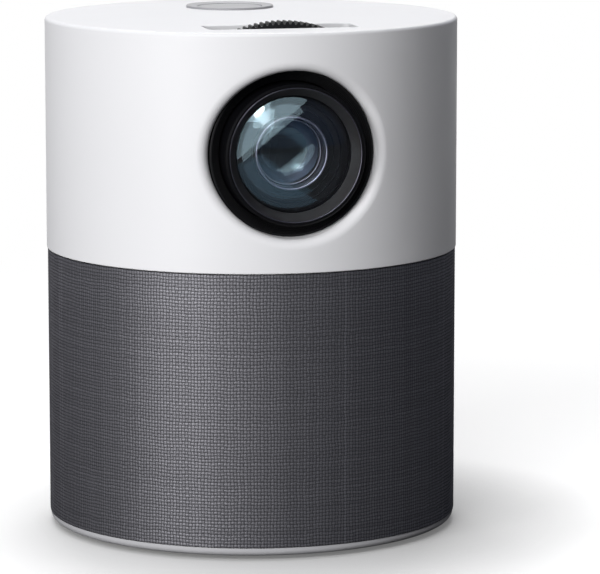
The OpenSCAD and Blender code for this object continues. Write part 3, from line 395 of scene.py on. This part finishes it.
# One look per finish, with its colour and roughness, and the few nodes that differ from their finish
LOOKS = {
    "white_shell": moulded("white_shell", (0.80, 0.80, 0.82), 0.45, spread=0.01, specular_ior_level=0.35),
    "grey_trim": moulded("grey_trim", (0.34, 0.34, 0.355), 0.4),
    "black_plastic": moulded("black_plastic", (0.006, 0.006, 0.007), 0.5, spread=0.2,
                             specular_ior_level=0.25),
    "dark_plastic": moulded("dark_plastic", (0.05, 0.05, 0.055), 0.5, spread=0.15),
    # Black plastic of the barrel, made darker still as painted shade inside the lens, where the lamps reach
    # through glass that casts no shadow.
    "barrel_black": moulded("barrel_black", (0.003, 0.003, 0.004), 0.45, spread=0.2,
                            specular_ior_level=0.1),
    "speaker_cloth": woven("speaker_cloth", CLOTH_COLOUR, THREADS, WEAVE_LOW_Z, WEAVE_HEIGHT / ROWS),
    "rubber": moulded("rubber", (0.03, 0.03, 0.03), 0.7, grain=1500, spread=0.2),
    "brass": metal("brass", (0.72, 0.52, 0.2), 0.3),
    "steel": metal("steel", (0.6, 0.61, 0.63), 0.32),
    "magnet": moulded("magnet", (0.05, 0.05, 0.055), 0.55, spread=0.2),
    "glass": optical_glass("glass", (0.97, 0.99, 1.0), specular_tint=(0.8, 0.93, 1.0)),
    "panel": moulded("panel", (0.02, 0.03, 0.04), 0.15, spread=0.2),
    "mirror": metal("mirror", (0.92, 0.92, 0.92), 0.09),
    "aluminium": metal("aluminium", (0.75, 0.76, 0.78), 0.35),
    "emitter": banded("emitter", (0.85, 0.65, 0.12), (0.7, 0.5, 0.05), scale=900, roughness=0.4),
    "board": circuit_board("board"),
    "ribbon": banded("ribbon", (0.55, 0.28, 0.06), (0.3, 0.14, 0.03), scale=700, roughness=0.3),
}
NODE_LOOKS = {
    "front_ring": moulded("ring_grey", (0.018, 0.017, 0.018), 0.38, spread=0.15, specular_ior_level=0.35),
    # Dark satin metal, made darker still as painted shade deep inside the lens, where the lamps reach
    # through glass that casts no shadow.
    "stop_ring": metal("stop_satin_painted_shade", (0.035, 0.04, 0.058), 0.35),
    # The base tray is the shell's white plastic painted darker: painted shade on its low band under the
    # sleeve.
    "base_tray": moulded("base_white_painted_shade", (0.50, 0.50, 0.52), 0.5, spread=0.01, specular_ior_level=0.25),
}
SATIN = metal("satin_ring", (0.20, 0.195, 0.24), 0.36)


def dress_frame():
    """Every frame node gets the material of its slot, or its own where it has one."""
    for part in frame["record"]["subparts"]:
        mesh = frame["nodes"][part["node"]].data
        mesh.materials.clear()
        mesh.materials.append(NODE_LOOKS.get(part["node"], LOOKS[part["material_slot"]]))


# Upper shell

SHELL_WALL = 2.6 * MM
SHELL_SOFT = 0.3 * MM
RIM_ROUND = 1.2 * MM
INNER_R = BODY_R - SHELL_WALL
INNER_TOP_Z = TOP_Z - SHELL_WALL
WALL_TOP_Z = TOP_Z - RIM_ROUND
# Lens opening, cut into a patch of the wall
OPENING_ROUND = 3.1 * MM
PATCH_HALF_DEG = 38
PATCH_HALF_Z = 34.5 * MM
PATCH_LOW_Z = LENS_Z - PATCH_HALF_Z
PATCH_HIGH_Z = LENS_Z + PATCH_HALF_Z
TUNNEL_U = -BEZEL_HIGH.y + 2 * MM
TUNNEL_R = OPENING_R + 3.5 * MM
# Focus window and control hole in the top
WINDOW_HALF_W = 25 * MM
WINDOW_FRONT_Y = RING_LOW.y + 0.2 * MM
WINDOW_DEPTH = 16 * MM
WINDOW_ROUND = 2 * MM
PAD_Y = (CONTROL_LOW.y + CONTROL_HIGH.y) / 2
PAD_R = 15.2 * MM
# Port and exhaust slots at the back
PORT_GAP = 0.15 * MM
PORT_X = TRAY_HIGH.x + PORT_GAP
PORT_LOW_Z = TRAY_LOW.z - PORT_GAP
PORT_HIGH_Z = TRAY_HIGH.z + PORT_GAP
SLOT_COUNT = 11
SLOT_W = 2.2 * MM
SLOT_PITCH = 4.6 * MM
SLOT_LOW_Z = TRAY_HIGH.z + 6 * MM
SLOT_HIGH_Z = TOP_Z - 14 * MM
SLOT_X = [(i - (SLOT_COUNT - 1) / 2) * SLOT_PITCH for i in range(SLOT_COUNT)]
# Fineness of the mesh, and rounds to find where the edge of the opening meets the drum
WALL_STEP_DEG = 3
PATCH_STEP_DEG = 3.2
ROW_STEP = 3 * MM
TOUCH_ROUNDS = 6
OPENING_STEPS = 8
FAN_RINGS = 7
FAN_BIAS = 0.8
RIM_STEPS = 6
PAD_STEPS = 32
CORNER_STEPS = 6
TINY = 1e-9


def spaced(start, end, most):
    """Even values from start to end, both included, at most the given step apart."""
    steps = math.ceil((end - start) / most - TINY)
    return list(np.linspace(start, end, steps + 1))


def bends(start_deg, end_deg, steps):
    """Even angles in radians, both ends included."""
    return np.radians(np.linspace(start_deg, end_deg, steps + 1))


def front_u(radius, angle, r):
    """Distance u of a drum of that radius, at r from the lens axis."""
    return math.sqrt(radius ** 2 - (r * math.cos(angle)) ** 2)


def opening_arc(angle):
    """Rounded edge of the lens opening in one plane through its axis, from the drum inwards."""
    def slope(r):
        return math.atan2(r * math.cos(angle) ** 2, front_u(BODY_R, angle, r))

    touch_r = OPENING_R + OPENING_ROUND
    for _ in range(TOUCH_ROUNDS):
        touch_r = OPENING_R + OPENING_ROUND * (1 + math.sin(slope(touch_r)))
    lean = slope(touch_r)
    centre_u = front_u(BODY_R, angle, touch_r) - OPENING_ROUND * math.cos(lean)
    return [(OPENING_R + OPENING_ROUND * (1 - math.cos(b)), centre_u + OPENING_ROUND * math.sin(b))
            for b in np.linspace(math.pi / 2 + lean, 0, OPENING_STEPS + 1)]


def shell_columns():
    """Columns of the wall as (angle outside, angle inside), from the lens patch round the right side.

    Also returns the number of cells across the patch and the column in the middle of the back.
    """
    half = math.radians(PATCH_HALF_DEG)
    patch = spaced(-half, half, math.radians(PATCH_STEP_DEG))
    edges_x = sorted([-PORT_X, 0.0, PORT_X] + [x + s * SLOT_W / 2 for x in SLOT_X for s in (-1, 1)])
    back = [(math.pi - math.asin(x / BODY_R), math.pi - math.asin(x / INNER_R)) for x in edges_x[::-1]]
    side = spaced(half, back[0][0], math.radians(WALL_STEP_DEG))[1:-1]
    columns = [(a, a) for a in patch + side] + back + [(math.tau - a, math.tau - a) for a in side[::-1]]
    return columns, len(patch) - 1, len(patch) + len(side) + edges_x.index(0.0)


def shell_rows():
    """Heights of the rows of the wall, with one on each edge of an opening."""
    openings = [PATCH_LOW_Z, PORT_LOW_Z, PORT_HIGH_Z, SLOT_LOW_Z, SLOT_HIGH_Z, PATCH_HIGH_Z]
    marks = [SEAM_Z, *openings, WALL_TOP_Z]
    return [z for a, b in zip(marks, marks[1:]) for z in spaced(a, b, ROW_STEP)[:-1]] + [WALL_TOP_Z]


def ring_points(radius, angles, z):
    """Points of a level ring, with angle 0 in front."""
    return [(radius * math.sin(a), -radius * math.cos(a), z) for a in angles]


def open_behind(angle, z):
    """True where the port or an exhaust slot cuts the wall away."""
    x = BODY_R * math.sin(angle)
    if math.cos(angle) > 0:
        return False
    if PORT_LOW_Z < z < PORT_HIGH_Z:
        return abs(x) < PORT_X
    return SLOT_LOW_Z < z < SLOT_HIGH_Z and any(abs(x - c) < SLOT_W / 2 for c in SLOT_X)


def add_wall(maker, outside, inside, angles, rows, patch_cells):
    """Both faces of the wall, its lower edge and the edges of port and slots. The lens patch stays open."""
    middles = [(a + b) / 2 for a, b in zip(angles, angles[1:] + [angles[0] + math.tau])]

    def is_closed(k, z):
        if k < patch_cells:
            return not PATCH_LOW_Z < z < PATCH_HIGH_Z
        return not open_behind(middles[k], z)

    def add_edge(a, b):
        """Face through the wall between two points of the grid."""
        (row_a, column_a), (row_b, column_b) = a, b
        maker.face((outside[row_a][column_a], outside[row_b][column_b],
                    inside[row_b][column_b], inside[row_a][column_a]))

    count = len(middles)
    closed = [[is_closed(k, (a + b) / 2) for k in range(count)] for a, b in zip(rows, rows[1:])]
    for j, row in enumerate(closed):
        for k, solid in enumerate(row):
            after = (k + 1) % count
            low, low_after = (j, k), (j, after)
            high, high_after = (j + 1, k), (j + 1, after)
            if solid:
                for grid in (outside, inside):
                    maker.face(grid[r][c] for r, c in (low, low_after, high_after, high))
            elif k >= patch_cells:
                sides = ((row[k - 1], low, high), (row[after], low_after, high_after),
                         (closed[j - 1][k], low, low_after), (closed[j + 1][k], high, high_after))
                for beside, a, b in sides:
                    if beside:
                        add_edge(a, b)
    maker.bridge(outside[0], inside[0])


def add_lens_opening(maker, outside, inside, rows, patch_cells):
    """Rings from the border of the patch to the rounded edge, through the tunnel and to the inside."""
    low, high = rows.index(PATCH_LOW_Z), rows.index(PATCH_HIGH_Z)
    border = ([(low, k) for k in range(patch_cells)] + [(j, patch_cells) for j in range(low, high)]
              + [(high, k) for k in range(patch_cells, 0, -1)] + [(j, 0) for j in range(high, low, -1)])
    rings = [[outside[j][k] for j, k in border]]
    corners = [maker.points[number] for number in rings[0]]
    far = [(math.atan2(z - LENS_Z, x), math.hypot(x, z - LENS_Z)) for x, _, z in corners]
    arcs = [opening_arc(a) for a, _ in far]
    for i in range(1, FAN_RINGS):
        share = (i / FAN_RINGS) ** FAN_BIAS
        reach = [(a, r + (edge[0][0] - r) * share) for (a, r), edge in zip(far, arcs)]
        rings.append(maker.loop(lens_point(r, a, front_u(BODY_R, a, r)) for a, r in reach))
    for step in zip(*arcs):
        rings.append(maker.loop(lens_point(r, a, u) for (a, _), (r, u) in zip(far, step)))
    rings.append(maker.loop(lens_point(OPENING_R, a, TUNNEL_U) for a, _ in far))
    rings.append(maker.loop(lens_point(TUNNEL_R, a, TUNNEL_U) for a, _ in far))
    rings.append(maker.loop(lens_point(TUNNEL_R, a, front_u(INNER_R, a, TUNNEL_R)) for a, _ in far))
    rings.append([inside[j][k] for j, k in border])
    for a, b in zip(rings, rings[1:]):
        maker.bridge(a, b)


def half_outlines():
    """Right halves of the control hole and the window, from the back to the front."""
    pad = [(PAD_R * math.cos(a), PAD_Y + PAD_R * math.sin(a)) for a in bends(90, -90, PAD_STEPS)]
    back_y = WINDOW_FRONT_Y + WINDOW_DEPTH
    inner_x = WINDOW_HALF_W - WINDOW_ROUND
    window = [(0, back_y)]
    for centre_y, start in ((back_y - WINDOW_ROUND, 90), (WINDOW_FRONT_Y + WINDOW_ROUND, 0)):
        window += [(inner_x + WINDOW_ROUND * math.cos(a), centre_y + WINDOW_ROUND * math.sin(a))
                   for a in bends(start, start - 90, CORNER_STEPS)]
    window.append((0, WINDOW_FRONT_Y))
    return pad, window


def whole_outline(half):
    """Adds the mirrored left half to a right half that starts and ends on x = 0."""
    return half + [(-x, y) for x, y in half[-2:0:-1]]


def add_top(maker, outer_edge, inner_edge, angles, front, rear):
    """Rounded rim and flat top, with the control hole and the focus window through it."""
    ring = outer_edge
    for bend in bends(0, 90, RIM_STEPS)[1:]:
        r = BODY_R - RIM_ROUND * (1 - math.cos(bend))
        after = maker.loop(ring_points(r, angles, WALL_TOP_Z + RIM_ROUND * math.sin(bend)))
        maker.bridge(ring, after)
        ring = after
    halves = half_outlines()
    levels = []
    for z, edge in ((TOP_Z, ring), (INNER_TOP_Z, inner_edge)):
        holes = [maker.loop((x, y, z) for x, y in whole_outline(half)) for half in halves]
        rights = [hole[:len(half)] for hole, half in zip(holes, halves)]
        lefts = [[hole[0]] + hole[:len(half) - 2:-1] for hole, half in zip(holes, halves)]
        right_edge = edge[front:rear + 1]
        left_edge = [edge[front]] + edge[:front][::-1] + edge[rear:][::-1]
        maker.face(right_edge + rights[0] + rights[1])
        maker.face(left_edge + lefts[0] + lefts[1])
        levels.append(holes)
    for high, low in zip(*levels):
        maker.bridge(high, low)


def make_shell():
    """White drum with a wall of even thickness, its openings and a closed top."""
    maker = MeshMaker()
    columns, patch_cells, rear = shell_columns()
    rows = shell_rows()
    out_angles, in_angles = (list(angles) for angles in zip(*columns))
    outside = [maker.loop(ring_points(BODY_R, out_angles, z)) for z in rows]
    inside = [maker.loop(ring_points(INNER_R, in_angles, min(z, INNER_TOP_Z))) for z in rows]
    add_wall(maker, outside, inside, out_angles, rows, patch_cells)
    add_lens_opening(maker, outside, inside, rows, patch_cells)
    add_top(maker, outside[-1], inside[-1], out_angles, patch_cells // 2, rear)
    piece = maker.build("upper_shell_white")
    soften_edges(piece, SHELL_SOFT)
    return place(piece, "drum", "white_shell", LOOKS["white_shell"], "upper_shell")


# Speaker sleeve

HEM_STEPS = 3
WEAVE_SHARP_DEG = 75


def make_sleeve():
    """Stretched cloth tube: the threads stand out at each crossing and sink between them."""
    steps = 2 * THREADS
    mean_r = CLOTH_HIGH.x - WEAVE_RELIEF
    inner_r = CLOTH_HIGH.x - CLOTH_T
    number = np.arange(steps)
    turn = number * math.tau / steps
    loops = []
    maker = MeshMaker()

    def ring(radius, z):
        loops.append(maker.loop(np.column_stack(
            (radius * np.sin(turn), -radius * np.cos(turn), np.full(steps, z))).tolist()))

    for bend in bends(-90, 0, HEM_STEPS)[:-1]:
        ring(mean_r - HEM_ROUND * (1 - math.cos(bend)), CLOTH_LOW.z + HEM_ROUND * (1 + math.sin(bend)))
    for j in range(2 * ROWS + 1):
        relief = number % 2 + j % 2 - 1
        ring(mean_r + WEAVE_RELIEF * relief, WEAVE_LOW_Z + WEAVE_HEIGHT * j / (2 * ROWS))
    for bend in bends(0, 90, HEM_STEPS)[1:]:
        ring(mean_r - HEM_ROUND * (1 - math.cos(bend)), CLOTH_HIGH.z - HEM_ROUND * (1 - math.sin(bend)))
    ring(inner_r, CLOTH_HIGH.z)
    ring(inner_r, CLOTH_LOW.z)
    for a, b in zip(loops, loops[1:] + loops[:1]):
        maker.bridge(a, b)
    piece = maker.build("speaker_sleeve", sharp_deg=WEAVE_SHARP_DEG)
    place(piece, "drum", "speaker_cloth", LOOKS["speaker_cloth"], "cloth_sleeve")
    return piece


# Lens

CAP_STEPS = 24
BEAD_STEPS = 8
# Radii of the curved glass faces
GLASS_CURVE = 50 * MM
GLASS_BACK_CURVE = 40 * MM
MIDDLE_CURVE = 34 * MM
REAR_CURVE = 60 * MM
# Front glass, and the flat rim that it sits on
GLASS_R = GLASS_HIGH.x
GLASS_SEAT = 1.7 * MM
GLASS_CHAMFER = 0.2 * MM
# Bezel round the nose of the barrel
NOSE_R = 23.3 * MM
NOSE_GAP = 0.4 * MM
BEZEL_GAP = 0.2 * MM
BEZEL_RIM = 0.8 * MM
BEZEL_SLOPE = 3.5 * MM
BEZEL_STEPS = 6
BEZEL_SOFT = 0.15 * MM
# Satin rings on the step at the end of the funnel behind the front glass, and on the front ring's lip
FUNNEL_DEPTH = 3.1 * MM
STEP_U = -GLASS_HIGH.y - FUNNEL_DEPTH
COLLAR_R = 11.5 * MM
COLLAR_BEAD = 0.4 * MM
COLLAR_RISE = 4.0 * MM
THROAT_R = 10.55 * MM
THROAT_BEAD = 0.22 * MM
FRONT_LIP = 0.5 * MM
LIP_R = FRONT_RING_HIGH.x - FRONT_LIP / 2
LIP_BEAD = 0.16 * MM


def cap(curve, radius, edge_u):
    """Points of a sphere cap from its edge to the lens axis."""
    centre_u = edge_u - math.sqrt(curve ** 2 - radius ** 2)
    leans = np.linspace(math.asin(radius / curve), 0, CAP_STEPS + 1)[:-1]
    return [(curve * math.sin(a), centre_u + curve * math.cos(a)) for a in leans] + [(0, centre_u + curve)]


def make_front_glass():
    """Meniscus with a chamfered edge."""
    back_u = -GLASS_HIGH.y
    edge_u = -GLASS_LOW.y - GLASS_CURVE + math.sqrt(GLASS_CURVE ** 2 - GLASS_R ** 2)
    front = cap(GLASS_CURVE, GLASS_R - GLASS_CHAMFER, edge_u + GLASS_CHAMFER / 2)
    back = cap(GLASS_BACK_CURVE, GLASS_R - GLASS_SEAT, back_u)
    outline = front[::-1] + [(GLASS_R, edge_u - GLASS_CHAMFER), (GLASS_R, back_u)] + back
    piece = revolve_round_lens("front_glass", outline)
    piece.visible_shadow = False
    return place(piece, "barrel", "glass", LOOKS["glass"], "front_lens")


def make_domed_glass(name, node, curve):
    """Glass disc with both faces domed alike, in place of a frame node."""
    low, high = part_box(node)
    vertex_u, back_u = -low.y, -high.y
    edge_u = vertex_u - curve + math.sqrt(curve ** 2 - high.x ** 2)
    front = cap(curve, high.x, edge_u)
    back = [(r, vertex_u + back_u - u) for r, u in front]
    piece = revolve_round_lens(name, front[::-1] + back)
    piece.visible_shadow = False
    return place(piece, "barrel", "glass", LOOKS["glass"], node)


def make_bezel():
    """Black ring round the barrel, with fine steps on its slope."""
    low_u, high_u = -BEZEL_HIGH.y, -BEZEL_LOW.y
    in_r = NOSE_R + NOSE_GAP
    rim_r = OPENING_R - BEZEL_GAP
    slope_r = rim_r - BEZEL_RIM
    step_r = (in_r - slope_r) / BEZEL_STEPS
    step_u = BEZEL_SLOPE / BEZEL_STEPS
    outline = [(in_r, low_u), (BEZEL_HIGH.x, low_u), (BEZEL_HIGH.x, TUNNEL_U)]
    outline += [(rim_r, TUNNEL_U), (rim_r, high_u)]
    for i in range(BEZEL_STEPS):
        r = slope_r + step_r * i
        outline += [(r, high_u - step_u * i), (r, high_u - step_u * (i + 1))]
    outline.append((in_r, high_u - BEZEL_SLOPE))
    piece = revolve_round_lens("lens_bezel_black", outline)
    soften_edges(piece, BEZEL_SOFT)
    return place(piece, "drum", "black_plastic", LOOKS["black_plastic"], "lens_bezel")


def make_satin_ring(name, radius, bead, foot_u, rise=0):
    """Half-round bead, on a straight foot where it rises."""
    outline = [(radius + bead * math.cos(a), foot_u + rise + bead * math.sin(a))
               for a in bends(0, 180, BEAD_STEPS)]
    if rise:
        outline += [(radius - bead, foot_u), (radius + bead, foot_u)]
    return place(revolve_round_lens(name, outline), "barrel", "steel", SATIN)


def make_lens():
    """Makes the lens and returns its glass pieces, the front one first."""
    make_bezel()
    make_satin_ring("throat_collar", COLLAR_R, COLLAR_BEAD, STEP_U, COLLAR_RISE)
    make_satin_ring("throat_bead", THROAT_R, THROAT_BEAD, STEP_U)
    make_satin_ring("lip_bead", LIP_R, LIP_BEAD, -FRONT_RING_LOW.y)
    middle = make_domed_glass("middle_glass", "middle_lens", MIDDLE_CURVE)
    rear = make_domed_glass("rear_glass", "rear_lens", REAR_CURVE)
    return make_front_glass(), middle, rear


# Studio

CAMERA_AT = (-0.2769, -1.2702, 0.2845)
CAMERA_HEADING_DEG = 13.03
CAMERA_DOWN_DEG = 8.92
CAMERA_LENS = 229.9
SENSOR = 36.0
MIDDLE = Vector((0, 0, TOP_Z / 2))
LENS_FRONT = Vector((0, GLASS_LOW.y, LENS_Z))
PALE_CYAN = (0.8, 0.95, 1.0)
DIM_BLUE = (0.45, 0.75, 1.0)


def make_camera():
    """Camera at the place and angle fitted to the photo."""
    data = bpy.data.cameras.new("photo_camera")
    data.lens = CAMERA_LENS
    data.sensor_width = SENSOR
    camera = bpy.data.objects.new("photo_camera", data)
    camera.location = CAMERA_AT
    camera.rotation_euler = (math.radians(90 - CAMERA_DOWN_DEG), 0, math.radians(-CAMERA_HEADING_DEG))
    bpy.context.scene.collection.objects.link(camera)
    bpy.context.scene.camera = camera


def aim_lamp(name, azimuth_deg, elevation_deg, distance, size, watts, colour=WHITE, aim=MIDDLE,
             roll_deg=0, only=(), but=()):
    """Soft box that looks at a point, with azimuth 0 in front and 90 on the right.

    It lights all pieces, a few only, or all but a few.
    """
    data = bpy.data.lights.new(name, "AREA")
    data.shape = "RECTANGLE"
    data.size, data.size_y = size
    data.energy = watts
    data.color = colour
    lamp = bpy.data.objects.new(name, data)
    turn, rise = math.radians(azimuth_deg), math.radians(elevation_deg)
    away = Vector((math.sin(turn) * math.cos(rise), -math.cos(turn) * math.cos(rise), math.sin(rise)))
    roll = Quaternion((0, 0, 1), math.radians(roll_deg))
    lamp.location = aim + away * distance
    lamp.rotation_mode = "QUATERNION"
    lamp.rotation_quaternion = (-away).to_track_quat("-Z", "Y") @ roll
    lamp.visible_camera = False
    bpy.context.scene.collection.objects.link(lamp)
    if only or but:
        linked = bpy.data.collections.new(name + "_pieces")
        for piece in only or but:
            linked.objects.link(piece)
        lamp.light_linking.receiver_collection = linked
        for entry in linked.collection_objects:
            entry.light_linking.link_state = "INCLUDE" if only else "EXCLUDE"


AMBIENT = (0.055, 0.055, 0.062)
MIRRORED_FRONT = 0.12
MIRRORED_TINT = (0.35, 0.55, 1.0)
BEHIND_RANGE = (0.2, 0.95)


def make_world():
    """White for the camera. Gloss and glass see it white behind the object, dim and blue in front."""
    world = bpy.data.worlds.new("studio")
    world.use_nodes = True
    bpy.context.scene.world = world
    nodes = NodeTree(world.node_tree)
    camera, mirrored = nodes.rays()
    way = nodes.add("SeparateXYZ", {0: nodes.add("TexCoord").outputs["Generated"]}).outputs["Y"]
    behind = nodes.span(way, MIRRORED_FRONT, 1.0, *BEHIND_RANGE, interpolation_type="SMOOTHSTEP")
    level = nodes.math("MAXIMUM", camera, nodes.math("MULTIPLY", mirrored, behind))
    seen = nodes.math("MAXIMUM", camera, mirrored)
    soft = nodes.tree.nodes["Background"]
    nodes.join(rgba(AMBIENT), soft.inputs["Color"])
    white = nodes.add("Background", {"Color": nodes.blend(level, MIRRORED_TINT, WHITE), "Strength": level})
    both = nodes.add("MixShader", {0: seen, 1: soft.outputs[0], 2: white.outputs[0]})
    nodes.join(both.outputs[0], nodes.tree.nodes["World Output"].inputs["Surface"])


FLOOR_HALF = 6.0
FLOOR_Z = -0.05 * MM
# Distances from the object at which the floor turns plain white
FLOOR_NEAR = 0.25
FLOOR_FAR = 0.6
# Colour and glow close by, the colour that lights the object, and what mirrors see right in front
FLOOR_PALE = 0.95
FLOOR_GLOW = 0.28
FLOOR_BOUNCE = 0.09
MIRRORED_FLOOR = 0.05
# Distance behind the object from which mirrors see the floor white
MIRRORED_WHITE_Y = 1.0
# Soft contact shade, which falls away from the key lamp
SHADE_REACH = 0.06
SHADE_LEAN = (-0.42, 0.08, 0)
SHADE_POWER = 2.6
SHADE_LEAST = 0.55


def make_floor():
    """Pale floor: lit and shaded close to the object, and plain white far away.

    Gloss and glass see it dim in front of the object, and the light it throws on the object is low.
    """
    corners = [(x * FLOOR_HALF, y * FLOOR_HALF, FLOOR_Z) for x, y in ((-1, -1), (1, -1), (1, 1), (-1, 1))]
    mesh = bpy.data.meshes.new("studio_floor")
    mesh.from_pydata(corners, [], [(0, 1, 2, 3)])
    floor = bpy.data.objects.new("studio_floor", mesh)
    bpy.context.scene.collection.objects.link(floor)
    look = Look("pale_floor", roughness=0.9, specular_ior_level=0.0, emission_color=WHITE)
    camera, mirrored = look.rays()
    back = look.add("SeparateXYZ", {0: look.here}).outputs["Y"]
    dimmed = look.math("MULTIPLY", mirrored, look.span(back, MIRRORED_FLOOR, 1.0, 0.0, MIRRORED_WHITE_Y))
    seen = look.math("MAXIMUM", camera, dimmed)
    reach = look.vector("LENGTH", look.here)["Value"]
    far = look.span(reach, 0.0, 1.0, FLOOR_NEAR, FLOOR_FAR, interpolation_type="SMOOTHSTEP")
    lean = look.vector("ADD", look.add("NewGeometry").outputs["Normal"], SHADE_LEAN)["Vector"]
    way = look.vector("NORMALIZE", lean)["Vector"]
    open_sky = look.add("AmbientOcclusion", {"Distance": SHADE_REACH, "Normal": way}).outputs["AO"]
    shade = look.span(look.math("POWER", open_sky, SHADE_POWER), SHADE_LEAST, 1.0)
    glow = look.mix(far, look.math("MULTIPLY", shade, FLOOR_GLOW), 1.0)
    pale = look.mix(far, look.math("MULTIPLY", shade, FLOOR_PALE), 0.0)
    look.put("Base Color", look.mix(seen, FLOOR_BOUNCE, pale))
    look.put("Emission Strength", look.math("MULTIPLY", seen, glow))
    mesh.materials.append(look.material)


def make_lens_lamps(glass):
    """Lamps for the glass alone: a bright strip above, a dim one below, and a spark on the front glass."""
    aim_lamp("upper_strip", azimuth_deg=-24, elevation_deg=17, distance=0.35, size=(0.80, 0.17), watts=1.35,
             colour=PALE_CYAN, aim=LENS_FRONT, roll_deg=42, only=glass)
    aim_lamp("lower_strip", azimuth_deg=-6, elevation_deg=-42, distance=0.15, size=(0.24, 0.08), watts=0.04,
             colour=DIM_BLUE, aim=LENS_FRONT, roll_deg=-40, only=glass)
    aim_lamp("spark_halo", azimuth_deg=-19, elevation_deg=30, distance=0.5, size=(0.18, 0.18), watts=0.7,
             colour=PALE_CYAN, aim=LENS_FRONT, only=glass[:1])
    aim_lamp("spark", azimuth_deg=-19, elevation_deg=30, distance=0.5, size=(0.085, 0.085), watts=1.3,
             aim=LENS_FRONT, roll_deg=45, only=glass[:1])


def make_studio(glass):
    """World, floor and soft boxes. The lenses have lamps of their own."""
    bpy.context.scene.view_settings.view_transform = "Standard"
    make_world()
    make_floor()
    aim_lamp("key_softbox", azimuth_deg=-50, elevation_deg=10, distance=1.2, size=(0.40, 0.55), watts=7.8,
             but=glass)
    aim_lamp("front_softbox", azimuth_deg=-24, elevation_deg=30, distance=1.4, size=(0.6, 0.5), watts=9.8,
             but=glass)
    aim_lamp("back_softbox", azimuth_deg=167, elevation_deg=50, distance=1.4, size=(0.8, 0.6), watts=8.0,
             but=glass)
    aim_lamp("top_softbox", azimuth_deg=180, elevation_deg=80, distance=1.0, size=(0.9, 0.9), watts=3.4,
             but=glass)
    make_lens_lamps(glass)


make_camera()
dress_frame()
make_shell()
make_sleeve()
make_studio(make_lens())
